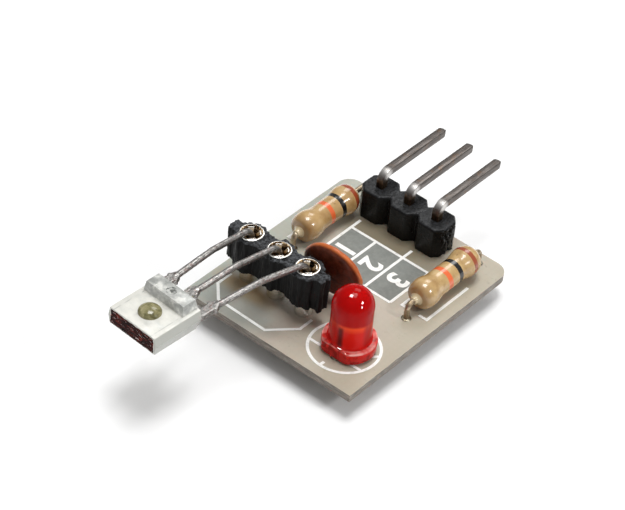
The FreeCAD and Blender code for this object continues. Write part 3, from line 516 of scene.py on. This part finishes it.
def smoothShade(mesh, sharpAngle):
    mesh.shade_smooth()
    mesh.set_sharp_from_angle(angle=math.radians(sharpAngle))
    return mesh


def toMesh(shape, sharpAngle=35):
    bmesh.ops.recalc_face_normals(shape, faces=shape.faces)
    mesh = bpy.data.meshes.new("shape")
    shape.to_mesh(mesh)
    shape.free()
    return smoothShade(mesh, sharpAngle)


# What an object's curve or modifiers make, as a plain mesh. The object goes
def plainMesh(thing):
    mesh = bpy.data.meshes.new_from_object(thing.evaluated_get(bpy.context.evaluated_depsgraph_get()))
    bpy.data.objects.remove(thing)
    return mesh


def addPiece(name, mesh, finish, slotName, *replaced):
    piece = addObject(name, mesh)
    mesh.name = name
    mesh.materials.clear()
    mesh.materials.append(bpy.data.materials[finish])
    for face in mesh.polygons:
        face.material_index = 0
    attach(piece, "root")
    if replaced:
        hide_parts(*replaced)


# A merged copy of a CAD node's mesh, with its flat faces joined
def takeNode(name):
    shape = bmesh.new()
    shape.from_mesh(nodes[name].data)
    bmesh.ops.remove_doubles(shape, verts=shape.verts, dist=1e-7)
    bmesh.ops.dissolve_limit(shape, angle_limit=math.radians(1), verts=shape.verts, edges=shape.edges)
    bmesh.ops.recalc_face_normals(shape, faces=shape.faces)
    return shape


def softenEdges(shape, width, steps, angle=25):
    sharp = [edge for edge in shape.edges
             if len(edge.link_faces) == 2 and edge.calc_face_angle(0) > math.radians(angle)]
    bmesh.ops.bevel(shape, geom=sharp, offset=width * mm, segments=steps, affect="EDGES", profile=0.5,
                    clamp_overlap=True)


# Faces from one ring of vertices to the next. A ring of one vertex is a pole
def bridge(shape, first, second):
    for step in range(max(len(first), len(second))):
        corners = [ring[number % len(ring)] for ring, number in (
            (first, step), (first, step + 1), (second, step + 1), (second, step))]
        shape.faces.new(tuple(dict.fromkeys(corners)))


# A skin over rows of points in millimetres, with a face at each end unless it is closed on itself
def loft(shape, rows, closed=False):
    rows = [[shape.verts.new([value * mm for value in point]) for point in row] for row in rows]
    for first, second in zip(rows, rows[1:] + rows[:1] if closed else rows[1:]):
        bridge(shape, first, second)
    if not closed:
        shape.faces.new(rows[0])
        shape.faces.new(rows[-1])
    return shape


# Turns (radius, height) pairs in millimetres round Z. A radius of 0 makes a pole
def lathe(shape, profile, steps, matrix=Matrix()):
    rows = []
    for radius, height in profile:
        count = steps if radius > 1e-6 else 1
        points = [(*polar(radius * mm, 360 * step / count), height * mm) for step in range(count)]
        rows.append([shape.verts.new(matrix @ Vector(point)) for point in points])
    for first, second in zip(rows, rows[1:]):
        bridge(shape, first, second)
    return shape


# A smooth line through the points, with the given steps between each two
def smoothLine(points, steps):
    ends = [points[0]] + list(points) + [points[-1]]
    line = []
    for a, b, c, d in zip(ends, ends[1:], ends[2:], ends[3:]):
        for step in range(steps):
            t = step / steps
            line.append(tuple(
                0.5 * (2 * b[i] + (c[i] - a[i]) * t + (2 * a[i] - 5 * b[i] + 4 * c[i] - d[i]) * t * t
                       + (3 * b[i] - a[i] - 3 * c[i] + d[i]) * t ** 3) for i in range(len(b))))
    return line + [tuple(points[-1])]


# Rebuilds a shape as an even skin, smooths it, and pushes it in and out by noise
def remeshed(shape, voxel, smoothing, lumps, lumpSize, seed, sharpAngle=60, upward=1.0):
    piece = addObject("rough", toMesh(shape))
    rebuild = piece.modifiers.new("rebuild", "REMESH")
    rebuild.mode = "VOXEL"
    rebuild.voxel_size = voxel * mm
    ease = piece.modifiers.new("ease", "SMOOTH")
    ease.factor = 0.5
    ease.iterations = smoothing
    skin = plainMesh(piece)
    normals = [vertex.normal.copy() for vertex in skin.vertices]
    for vertex, normal in zip(skin.vertices, normals):
        x, y, z = vertex.co / (lumpSize * mm)
        spot = Vector((x + seed, y + seed, z * upward + seed))
        vertex.co += normal * (noise.fractal(spot, 0.6, 2.0, 3) * lumps * mm)
    return smoothShade(skin, sharpAngle)


# A flat line of ink through the points, with mitred corners
def ribbon(shape, points, width, level, thickness, closed=False):
    flat = [Vector(point) for point in points]
    high = level + thickness
    rows = []
    for index, point in enumerate(flat):
        before = flat[index - 1] if closed or index else None
        after = flat[(index + 1) % len(flat)] if closed or index < len(flat) - 1 else None
        into = (point - before).normalized() if before is not None else (after - point).normalized()
        out = (after - point).normalized() if after is not None else into
        normal = Vector((-into.y - out.y, into.x + out.x))
        normal *= (width / 2) / max(0.3, 0.5 * normal.length) / normal.length
        left, right = point + normal, point - normal
        rows.append([(*left, level), (*right, level), (*right, high), (*left, high)])
    loft(shape, rows, closed)


def newTree(name, **sockets):
    tree = bpy.data.node_groups.new(name, "GeometryNodeTree")
    for socket, kind in {"Geometry": "Geometry", **sockets}.items():
        tree.interface.new_socket(name=socket, in_out="INPUT", socket_type=f"NodeSocket{kind}")
    tree.interface.new_socket(name="Geometry", in_out="OUTPUT", socket_type="NodeSocketGeometry")
    return tree, addNode(tree, "NodeGroupInput").outputs


def closeTree(tree, instances, finish):
    real = addNode(tree, "GeometryNodeRealizeInstances", {"Geometry": instances})
    painted = addNode(tree, "GeometryNodeSetMaterial", {
        "Geometry": real.outputs["Geometry"], "Material": finish})
    addNode(tree, "NodeGroupOutput", {"Geometry": painted.outputs["Geometry"]})
    return tree


# Repeats the base shape round Z and then in a row along X
def rowTree():
    tree, given = newTree("contactRow", Count="Int", Spacing="Float", Turns="Int", Finish="Material")
    still = addNode(tree, "GeometryNodeMeshLine", {"Count": given["Turns"], "Offset": (0, 0, 0)},
                    mode="OFFSET")
    share = calc("DIVIDE", addNode(tree, "GeometryNodeInputIndex").outputs[0], given["Turns"])
    turn = addNode(tree, "ShaderNodeCombineXYZ", {"Z": times(share, 2 * math.pi)})
    ring = addNode(tree, "GeometryNodeInstanceOnPoints", {
        "Points": still.outputs["Mesh"], "Instance": given["Geometry"], "Rotation": turn.outputs[0]})
    reach = addNode(tree, "ShaderNodeCombineXYZ", {"X": given["Spacing"]})
    line = addNode(tree, "GeometryNodeMeshLine", {"Count": given["Count"], "Offset": reach.outputs[0]},
                   mode="OFFSET")
    row = addNode(tree, "GeometryNodeInstanceOnPoints", {
        "Points": line.outputs["Mesh"], "Instance": ring.outputs["Instances"]})
    return closeTree(tree, row.outputs["Instances"], given["Finish"])


# Puts the joint shape on every point, as wide as the point's own reach says
def jointTree():
    tree, given = newTree("solderPlaces", Joint="Object", Finish="Material")
    joint = addNode(tree, "GeometryNodeObjectInfo", {"Object": given["Joint"]})
    reach = addNode(tree, "GeometryNodeInputNamedAttribute", {"Name": "reach"}, data_type="FLOAT")
    wide = reach.outputs["Attribute"]
    scale = addNode(tree, "ShaderNodeCombineXYZ", {"X": wide, "Y": wide, "Z": 1.0})
    joints = addNode(tree, "GeometryNodeInstanceOnPoints", {
        "Points": given["Geometry"], "Instance": joint.outputs["Geometry"], "Scale": scale.outputs[0]})
    return closeTree(tree, joints.outputs["Instances"], given["Finish"])


# Runs a tree on a base mesh and returns the plain mesh that it makes
def grow(tree, base, values, sharpAngle, origin=(0, 0, 0)):
    worker = addObject("base", base)
    modifier = worker.modifiers.new("grow", "NODES")
    modifier.node_group = tree
    for item in tree.interface.items_tree:
        if item.in_out == "INPUT" and item.name in values:
            modifier[item.identifier] = values[item.name]
    mesh = plainMesh(worker)
    mesh.transform(moved(*origin))
    return smoothShade(mesh, sharpAngle)


contactRow = rowTree()
solderPlaces = jointTree()


# One piece for the three contacts of a row. It replaces the three nodes of that name
def addRow(name, base, origin, turns, finish, slotName, node, sharpAngle):
    mesh = grow(contactRow, base, {"Count": 3, "Spacing": place["spacing"] * mm, "Turns": turns,
                                   "Finish": bpy.data.materials[finish]}, sharpAngle, origin)
    addPiece(name, mesh, finish, slotName, *(f"{node}_{number}" for number in (1, 2, 3)))


# The board's ink. Its places are measured from the board's front left corner

ink = {
    "width": 0.215,
    "thickness": 0.02,
    "sunk": 0.002,
    "shift": (-7.5, -7.024),    # from that corner to the model's frame
    "fields": [3.94, 6.24, 8.69, 11.04],
    "fieldTop": 13.55,
    "fieldBottom": 9.2,
    "fieldStub": 14.6,
    "fieldThickness": 0.008,
    "numberSize": 2.3,
    "numberBold": 0.07,
    "lampCircle": (11.69, 3.41, 2.54),
    "lines": [
        [(1.18, 3.6), (1.18, 2.2), (2.34, 0.95), (6.69, 0.85), (8.34, 2.66), (8.33, 3.95)],
        [(1.45, 11.0), (1.45, 9.5), (2.0, 9.5)],
        [(11.8, 11.2), (11.8, 9.6), (12.4, 9.6)],
        [(14.0, 14.3), (14.0, 9.6), (13.3, 9.6)],
        [(9.42, 2.4), (10.41, 2.4)],
        [(12.75, 2.4), (13.94, 2.4)],
        [(11.6, 0.84), (11.64, 1.31)],
        [(13.46, 3.81), (13.99, 4.35)],
    ],
}


def inBoard(points):
    return [(x + ink["shift"][0], y + ink["shift"][1]) for x, y in points]


def inkMesh():
    shape = bmesh.new()
    fields, high, low, level = ink["fields"], ink["fieldTop"], ink["fieldBottom"], top - ink["sunk"]
    lines = [[(fields[0], y), (fields[-1], y)] for y in (high, low)]
    lines += [[(x, low), (x, ink["fieldStub"] if number in (0, 2) else high)]
              for number, x in enumerate(fields)]
    for index, line in enumerate(lines + ink["lines"]):
        ribbon(shape, inBoard(line), ink["width"], level, ink["thickness"] + 0.001 * index)
    x, y, radius = ink["lampCircle"]
    circle = [polar(radius, angle) for angle in range(0, 360, 3)]
    circle = inBoard([(x + aside, y + ahead) for aside, ahead in circle])
    ribbon(shape, circle, ink["width"], level, ink["thickness"], closed=True)
    for number, (left, right) in enumerate(zip(fields, fields[1:]), 1):
        curve = bpy.data.curves.new("number", "FONT")
        curve.body = str(number)
        curve.size = ink["numberSize"] * mm
        curve.align_x, curve.align_y = "CENTER", "CENTER"
        curve.extrude = ink["thickness"] / 2 * mm
        curve.offset = ink["numberBold"] * mm
        mesh = plainMesh(addObject("number", curve))
        middle = inBoard([((left + right) / 2, (high + low) / 2)])[0]
        mesh.transform(moved(*middle, top + ink["thickness"] / 2 - 0.001) @ turned(-90, "Z"))
        shape.from_mesh(mesh)
    return toMesh(shape, 20)


# The label fields, each inside its ink lines
def fieldMesh():
    shape = bmesh.new()
    gap = ink["width"] / 2 - 0.01
    for left, right in zip(ink["fields"], ink["fields"][1:]):
        ends = [((left + right) / 2, ink["fieldBottom"] + gap), ((left + right) / 2, ink["fieldTop"] - gap)]
        ribbon(shape, inBoard(ends), right - left - 2 * gap, top - ink["sunk"], ink["fieldThickness"])
    return toMesh(shape, 20)


addPiece("boardInk", inkMesh(), "whiteInk", "board_laminate")
addPiece("labelFields", fieldMesh(), "fieldInk", "board_laminate")
print("board and ink made")


# Pin header

headerLook = {"skin": 0.05, "lumps": 0.008, "lumpSize": 0.3, "height": 2.42, "brokenEnd": 2.95,
              "brokenDepth": 0.2}


# Breaks up the last cell's outer end, as where the strip was snapped off
def roughenEnd(mesh):
    for vertex in mesh.vertices:
        share = min(1.0, max(0.0, (vertex.co.x / mm - headerLook["brokenEnd"]) / 0.12))
        if share and vertex.co.z / mm < top + headerLook["height"]:
            x, y, z = vertex.co / (0.36 * mm)
            lump = noise.fractal(Vector((x + 3, y, z * 0.6)), 0.7, 2.0, 4)
            vertex.co.x -= share * headerLook["brokenDepth"] * mm * max(0.0, 0.35 + 1.6 * lump)


skin = remeshed(takeNode("header_housing"), headerLook["skin"], 1, headerLook["lumps"],
                headerLook["lumpSize"], 6.0, 30)
roughenEnd(skin)
addPiece("headerHousing", skin, "headerBlack", "black_moulding", "header_housing")

shape = takeNode("header_pin_1")
softenEdges(shape, pinLook["edge"], 3)
bmesh.ops.translate(shape, verts=shape.verts, vec=Vector((-place["headerX"] * mm, 0, 0)))
addRow("headerPins", toMesh(shape), (place["headerX"], 0, 0), 1, "pinPlate", "pin_plate", "header_pin", 40)
print("header made")


# Socket strip: lumpy housing, turned sleeves, four sprung fingers in each

socketLook = {
    "skin": 0.055,
    "lumps": 0.11,
    "lumpSize": 0.5,
    "rim": (0.915, 0.68),
    "rimTop": 6.30,
    "housing": (3.45, 6.15),
    "clipTop": 6.24,
    "clipWall": 0.08,
    "clipSpread": 21,    # half of a finger's angle
}

addPiece("socketHousing", remeshed(takeNode("socket_housing"), socketLook["skin"], 1, socketLook["lumps"],
                                   socketLook["lumpSize"], 4.0, 50, 0.2),
         "socketBlack", "black_moulding", "socket_housing")


def sleeveMesh():
    outer, inner = socketLook["rim"]
    high = socketLook["rimTop"]
    low, housingTop = socketLook["housing"]
    profile = [(0, 0), (0.2, 0), (0.25, 0.05), (0.25, top), (0.6, top), (0.66, top + 0.08),
               (0.66, low - 0.08), (0.76, low), (0.76, housingTop), (outer - 0.05, housingTop),
               (outer, housingTop + 0.05),
               (outer, high - 0.06), (outer - 0.02, high - 0.02), (outer - 0.06, high), (inner + 0.1, high),
               (inner + 0.04, high - 0.03), (inner, high - 0.12), (inner, high - 1.9), (0, high - 2.15)]
    return toMesh(lathe(bmesh.new(), profile, 64), 32)


# One sprung finger: a bent strip from the collar down to the lead
def fingerMesh():
    high, wall = socketLook["clipTop"], socketLook["clipWall"]
    line = smoothLine([(0.63, high), (0.6, high - 0.07), (0.46, high - 0.2), (0.345, high - 0.36),
                       (0.295, high - 0.62), (0.3, high - 1.2)], 4)
    rows = []
    for radius, height in line:
        spread = socketLook["clipSpread"] * (1.35 - 0.55 * radius)
        inside, outside = ([(*polar(depth, spread * step / 4), height) for step in range(-4, 5)]
                           for depth in (radius - wall / 2, radius + wall / 2))
        rows.append(inside + outside[::-1])
    shape = loft(bmesh.new(), rows)
    shape.transform(turned(45, "Z"))
    return toMesh(shape, 40)


rowPlace = (place["socketX"], place["socketY"], 0)
addRow("socketSleeves", sleeveMesh(), rowPlace, 1, "sleevePlate", "sleeve_plate", "socket_sleeve", 32)
addRow("socketClips", fingerMesh(), rowPlace, 4, "clipGold", "clip_gold", "socket_clip", 40)
print("socket strip made")


# Receiver

receiverLook = {
    "leadSkin": 0.045,
    "leadLumps": 0.012,
    "halfWidth": 2.235,
    "halfHeight": 0.74,
    "length": 4.23,
    "draft": 0.13,
    "partingLine": (0.01, 0.05),    # how far it stands out, and half its height
    "bar": (1.9, 1.45, 0.8),        # half width, length and height
    "edge": 0.06,
    "endSkin": (2.02, -0.56, 0.62),    # half width, bottom and top
    "endDepth": 0.03,
    "lens": (0.82, 0.76, 0.42),    # radius, foot and height of the dome
    "lensY": -2.62,
}
receiverMatrix = moved(*place["receiver"]) @ turned(place["receiverYaw"], "Z")

for number in (1, 2, 3):
    skin = remeshed(takeNode(f"receiver_lead_{number}"), receiverLook["leadSkin"], 2,
                    receiverLook["leadLumps"], 0.45, number)
    addPiece(f"receiverLead{number}", skin, "leadTin", "tinned_wire", f"receiver_lead_{number}")


# One shape from two that overlap
def united(first, second):
    block, other = (addObject("part", toMesh(shape)) for shape in (first, second))
    union = block.modifiers.new("union", "BOOLEAN")
    union.operation = "UNION"
    union.solver = "EXACT"
    union.object = other
    shape = bmesh.new()
    shape.from_mesh(plainMesh(block))
    bpy.data.objects.remove(other)
    return shape


# The clear block in its own frame: drafted sides with a parting line, and the raised bar
def packageShape():
    half, thick, long, draft = (receiverLook[key] for key in ("halfWidth", "halfHeight", "length", "draft"))
    out, seam = receiverLook["partingLine"]
    right = [(half - draft, -thick), (half - out, -seam), (half, -seam), (half, seam), (half - out, seam),
             (half - draft, thick)]
    left = [(-x, z) for x, z in reversed(right)]
    rows = [[(x, y, max(z, -thick + lift)) for x, z in left[-1:] + right + left[:-1]]
            for y, lift in ((-long, 0.1), (-long + 0.1, 0.0), (-0.35, 0.0), (0.0, 0.5))]
    wide, deep, tall = receiverLook["bar"]
    bar = [[(-wide + inset, -deep + inset, z), (wide - inset, -deep + inset, z), (wide - inset, -inset, z),
            (-wide + inset, -inset, z)] for z, inset in ((thick - 0.2, -0.02), (thick + tall, 0.16))]
    return united(loft(bmesh.new(), rows), loft(bmesh.new(), bar))


# A thin uneven skin on the block's front end
def endSkinShape():
    columns, rows = 44, 16
    wide, low, high = receiverLook["endSkin"]
    shape = bmesh.new()
    layers = []
    for depth in (0, 1):
        grid = {}
        for row in range(rows + 1):
            for column in range(columns + 1):
                u, v = column / columns, row / rows
                x = (2 * u - 1) * wide * (1 + 0.05 * noise.noise(Vector((u * 9, v * 5, 3))))
                z = low + (high - low) * v + 0.05 * noise.noise(Vector((u * 11, v * 2, 7)))
                y = 0.01 - receiverLook["length"]
                if depth:
                    y -= 0.02 + receiverLook["endDepth"] * abs(noise.noise(Vector((x * 1.4, z * 5.0, 1))))
                grid[row, column] = shape.verts.new((x * mm, y * mm, z * mm))
        for row in range(rows):
            for column in range(columns):
                shape.faces.new([grid[row + up, column + along]
                                 for up, along in ((0, 0), (0, 1), (1, 1), (1, 0))])
        layers.append(grid)
    around = [(0, column) for column in range(columns)] + [(row, columns) for row in range(rows)]
    around += [(rows, column) for column in range(columns, 0, -1)] + [(row, 0) for row in range(rows, 0, -1)]
    bridge(shape, *([grid[spot] for spot in around] for grid in layers))
    return shape


shape = packageShape()
softenEdges(shape, receiverLook["edge"], 2, 12)
shape.transform(receiverMatrix)
addPiece("receiverPackage", toMesh(shape, 30), "clearEpoxy", "clear_epoxy", "receiver_package")
shape = endSkinShape()
shape.transform(receiverMatrix)
addPiece("receiverEndSkin", toMesh(shape, 50), "brokenSkin", "clear_epoxy")

radius, foot, rise = receiverLook["lens"]
dome = [(0, foot - 0.22), (radius - 0.06, foot - 0.22), (radius, foot - 0.16)]
dome += [(polar(radius, angle)[0], foot + polar(rise, angle)[1]) for angle in range(0, 90, 6)]
dome.append((0, foot + rise))
shape = lathe(bmesh.new(), dome, 64, receiverMatrix @ moved(0, receiverLook["lensY"], 0))
addPiece("receiverLens", toMesh(shape, 40), "lensYellow", "lens_epoxy", "receiver_lens")
print("receiver made")


# Lamp: domed red lens with a flange that is flat towards the front

def lampShape():
    radius, flange, height = lampLook["radius"], lampLook["flange"], lampLook["height"]
    rise = lampLook["flangeHeight"]
    spring, neck = height - radius, rise + 0.14
    profile = [(0, 0), (flange - 0.12, 0), (flange - 0.03, 0.04), (flange, 0.13), (flange, rise - 0.14),
               (flange - 0.04, rise - 0.04), (flange - 0.14, rise), (radius + 0.1, rise),
               (radius + 0.03, rise + 0.04), (radius, neck)]
    profile += [(radius - 0.01, neck + (spring - neck) * step / 6) for step in range(1, 7)]
    profile += [(out, spring + up) for out, up in (polar(radius, angle) for angle in range(6, 90, 6))]
    profile.append((0, height))
    shape = lathe(bmesh.new(), profile, 96, moved(*place["lamp"], top + lampLook["gap"]))
    for vertex in shape.verts:
        vertex.co.y = max(vertex.co.y, (place["lamp"][1] - lampLook["flat"]) * mm)
    return shape


addPiece("lampLens", toMesh(lampShape(), 32), "lampRed", "red_epoxy", "lamp_lens")
print("lamp made")


# Capacitor: a dipped disc whose coating runs down both leads

def discShape():
    radius, half = discLook["radius"], discLook["half"]
    front = [(radius * out, y) for out, y in smoothLine([
        (0.0, half), (0.3, half * 0.985), (0.6, half * 0.86), (0.85, half * 0.62), (0.95, half * 0.38),
        (0.99, half * 0.16), (1.0, 0)], 5)]
    profile = front + [(out, -y) for out, y in reversed(front[:-1])]
    turn = turned(discLook["yaw"], "Z") @ turned(discLook["lean"], "X") @ turned(90, "X")
    shape = lathe(bmesh.new(), profile, 72, moved(*place["disc"], discLook["level"]) @ turn)
    for side in (-1, 1):
        run = [(0, 0.25), (0.26, 0.25), (0.31, 0.32), (0.34, 0.6), (0.46, 1.0), (0.5, 1.5), (0, 1.5)]
        foot = moved(place["disc"][0] + side * place["spacing"] / 2, discLook["leadY"], top)
        lathe(shape, run, 32, foot)
    return shape


addPiece("capacitorDisc", remeshed(discShape(), discLook["skin"], 2, 0.025, 0.8, 2.0), "orangeDip",
         "orange_dip", "capacitor_disc")
print("capacitor made")


# Resistors: lacquered dog-bone bodies on bent wires. The end is (radius, height beyond the body's end)

resistorLook = {
    "end": [(0.0, 0.42), (0.25, 0.4), (0.29, 0.24), (0.36, 0.1), (0.52, -0.02), (0.84, -0.14), (1.04, -0.42),
            (1.12, -0.86), (1.1, -1.25), (1.01, -1.65), (0.95, -2.0)],
    "waist": 0.94,
    "lead": 0.21,
    "bend": 0.4,
}


def resistorShape(side):
    near, far = place["resistorEnds"][side]
    half = (far - near) / 2
    rear = [(radius, half + beyond) for radius, beyond in resistorLook["end"]]
    line = smoothLine(rear + [(resistorLook["waist"], half * 0.15)], 4)
    middle = Vector((place["resistorX"][side], (near + far) / 2, place["resistorLevel"])) * mm
    shape = lathe(bmesh.new(), line + [(radius, -y) for radius, y in reversed(line)], 64,
                  Matrix.Translation(middle) @ turned(-90, "X"))
    for vertex in shape.verts:
        out = vertex.co - middle
        out.y = 0
        if out.length > 0.3 * mm:
            spot = vertex.co / (0.9 * mm) + Vector((5, 0, 0 if side == "left" else 9))
            vertex.co += out.normalized() * (noise.noise(spot) * 0.02 * mm)
    return shape


# From inside the body's end, round a bend and down through the hole
def wireRoute(side, start, hole):
    x, level, bend = place["resistorX"][side], place["resistorLevel"], resistorLook["bend"]
    inward = 1 if start > hole else -1
    route = [(x, start + inward * 0.3, level)]
    for step in range(9):
        angle = math.radians(90 * step / 8)
        route.append((x, hole + inward * bend * (1 - math.sin(angle)), level - bend * (1 - math.cos(angle))))
    return route + [(x, hole, 0.0)]


def wireMesh(points, radius):
    curve = bpy.data.curves.new("wire", "CURVE")
    curve.dimensions = "3D"
    curve.bevel_depth = radius * mm
    curve.bevel_resolution = 5
    curve.use_fill_caps = True
    spline = curve.splines.new("POLY")
    spline.points.add(len(points) - 1)
    for point, spot in zip(spline.points, points):
        point.co = (*(value * mm for value in spot), 1)
    return smoothShade(plainMesh(addObject("wire", curve)), 50)


for side in ("left", "right"):
    addPiece(f"resistorBody_{side}", toMesh(resistorShape(side), 60), f"tanLacquer_{side}", "tan_lacquer",
             f"resistor_body_{side}")
    for number, start, hole in zip((1, 2), place["resistorEnds"][side], place["resistorHoles"]):
        mesh = wireMesh(wireRoute(side, start, hole), resistorLook["lead"])
        addPiece(f"resistorLead_{side}_{number}", mesh, "wireTin", "tinned_wire",
                 f"resistor_lead_{side}_{number}")
print("resistors made")


# Solder: low collars round the leads on top of the board, and a joint under it on every lead's place

solderLook = {
    "collar": [(0, -0.12), (0.3, -0.12), (0.37, 0.005), (0.34, 0.03), (0.27, 0.07), (0, 0.07)],
    "foot": 0.62,
    "tip": 0.3,
    "height": 0.75,
    "level": 1.45,
    "reach": {    # times the foot
        "header": 1.12, "socket": 1.0, "lamp": 1.12, "disc": 0.97, "resistor": 0.98},
}


# X, Y and reach of the leads in the two rows, and of all the others
def leadSpots():
    reach, gap = solderLook["reach"], place["spacing"]
    rows = [(place[f"{row}X"] + step * gap, place[f"{row}Y"], reach[row]) for row in ("header", "socket")
            for step in range(3)]
    x, y = place["lamp"]
    others = [(x, y + side * gap / 2, reach["lamp"]) for side in (-1, 1)]
    others += [(place["disc"][0] + side * gap / 2, discLook["leadY"], reach["disc"]) for side in (-1, 1)]
    others += [(x, y, reach["resistor"]) for x in place["resistorX"].values() for y in place["resistorHoles"]]
    return rows, others


def onSpots(profile, steps, spots, level, finish):
    joint = addObject("joint", toMesh(lathe(bmesh.new(), profile, steps), 50))
    base = bpy.data.meshes.new("spots")
    base.from_pydata([(x * mm, y * mm, level * mm) for x, y, reach in spots], [], [])
    base.attributes.new("reach", "FLOAT", "POINT").data.foreach_set("value", [spot[2] for spot in spots])
    mesh = grow(solderPlaces, base, {"Joint": joint, "Finish": bpy.data.materials[finish]}, 50)
    bpy.data.objects.remove(joint)
    return mesh


def jointProfile():
    foot, tip, height = solderLook["foot"], solderLook["tip"], solderLook["height"]
    side = [(tip + (foot - tip) * (1 - share) ** 2.2, -0.03 - (height - 0.06) * share)
            for share in (step / 8 for step in range(1, 9))]
    return [(0, 0), (foot, 0.0), (foot + 0.01, -0.03)] + side + [(tip - 0.03, -height), (0, -height)]


rowSpots, otherSpots = leadSpots()
collars = onSpots(solderLook["collar"], 32, [(x, y, 1.0) for x, y, reach in otherSpots], top, "collarTin")
addPiece("solderCollars", collars, "collarTin", "solder")
joints = onSpots(jointProfile(), 40, rowSpots + otherSpots, solderLook["level"], "solderTin")
addPiece("solderJoints", joints, "solderTin", "solder", "solder_header", "solder_socket", "solder_lamp",
         "solder_capacitor", "solder_resistors")
print("solder made")


# Floor, light and camera

def addFloor():
    mesh = bpy.data.meshes.new("floor")
    side = 0.6
    corners = [(-side, -side, 0), (side, -side, 0), (side, side, 0), (-side, side, 0)]
    mesh.from_pydata(corners, [], [range(4)])
    shader = startFinish("paleFloor", 0.75)
    tint(shader, greyRamp(grain(millimetres(shader), 0.02, 2), 0.92, 0.94))
    mesh.materials.append(bpy.data.materials["paleFloor"])
    addObject("floor", mesh)


# Direction, distance, size and power. A light that names pieces lights only those, and only by reflection
lights = {
    "keyLight": ((-0.05, 0.12, 1.0), 0.35, 0.14, 0.8),
    "glintLight": ((-0.22, -0.12, 1.0), 0.35, 0.09, 4.0, "lampLens"),
    "sideGlint": ((0.9, 0.2, 0.72), 0.35, 0.06, 2.0, "lampLens"),
    "lowGlint": ((0.95, -0.05, 0.4), 0.35, 0.05, 1.2, "lampLens"),
    "sideLight": ((0.9, 0.25, 0.75), 0.35, 0.05, 0.32),
    "rearLight": ((-0.3, 0.8, 0.9), 0.45, 0.16, 0.35),
}


def addLight(name, direction, distance, width, power, *pieces):
    light = bpy.data.lights.new(name, "AREA")
    light.shape = "SQUARE"
    light.size = width
    light.energy = power
    lamp = addObject(name, light)
    lamp.location = Vector(direction).normalized() * distance
    lamp.rotation_euler = Vector(direction).to_track_quat("Z", "Y").to_euler()
    if pieces:
        lamp.visible_diffuse = lamp.visible_transmission = False
        group = bpy.data.collections.new(f"{name}Pieces")
        for piece in pieces:
            group.objects.link(bpy.data.objects[piece])
        lamp.light_linking.receiver_collection = group


view = {
    "target": (-3.565, 2.178, 2.1),
    "distance": 184.632,
    "azimuth": 36.435,
    "elevation": 40.808,
    "roll": 5.786,
    "lens": 149.76,
}


def addCamera():
    a, e, r = (math.radians(view[name]) for name in ("azimuth", "elevation", "roll"))
    back = Vector((math.sin(a) * math.cos(e), -math.cos(a) * math.cos(e), math.sin(e)))
    right = Vector((math.cos(a), math.sin(a), 0))
    up = back.cross(right)
    camera = addObject("camera", bpy.data.cameras.new("camera"))
    camera.data.lens = view["lens"]
    camera.data.sensor_width = 36
    camera.data.clip_start = 0.005
    camera.data.clip_end = 5
    matrix = Matrix((right * math.cos(r) + up * math.sin(r), up * math.cos(r) - right * math.sin(r), back))
    matrix = matrix.transposed().to_4x4()
    matrix.translation = (Vector(view["target"]) + back * view["distance"]) * mm
    camera.matrix_world = matrix
    scene.camera = camera


def addWorld():
    world = bpy.data.worlds.new("studio")
    world.use_nodes = True
    background = world.node_tree.nodes["Background"]
    height = axes(addNode(background, "ShaderNodeTexCoord").outputs["Generated"])["Z"]
    sky = ramp(height, (0.0, 0.75, 0.75, 0.75), (0.5, 0.5, 0.5, 0.5), (1.0, 0.9, 0.9, 0.9))
    world.node_tree.links.new(sky, background.inputs["Color"])
    background.inputs["Strength"].default_value = 0.5
    scene.world = world


addFloor()
for name, values in lights.items():
    addLight(name, *values)
addWorld()
addCamera()
scene.view_settings.view_transform = "Standard"
print("floor, light and camera made")
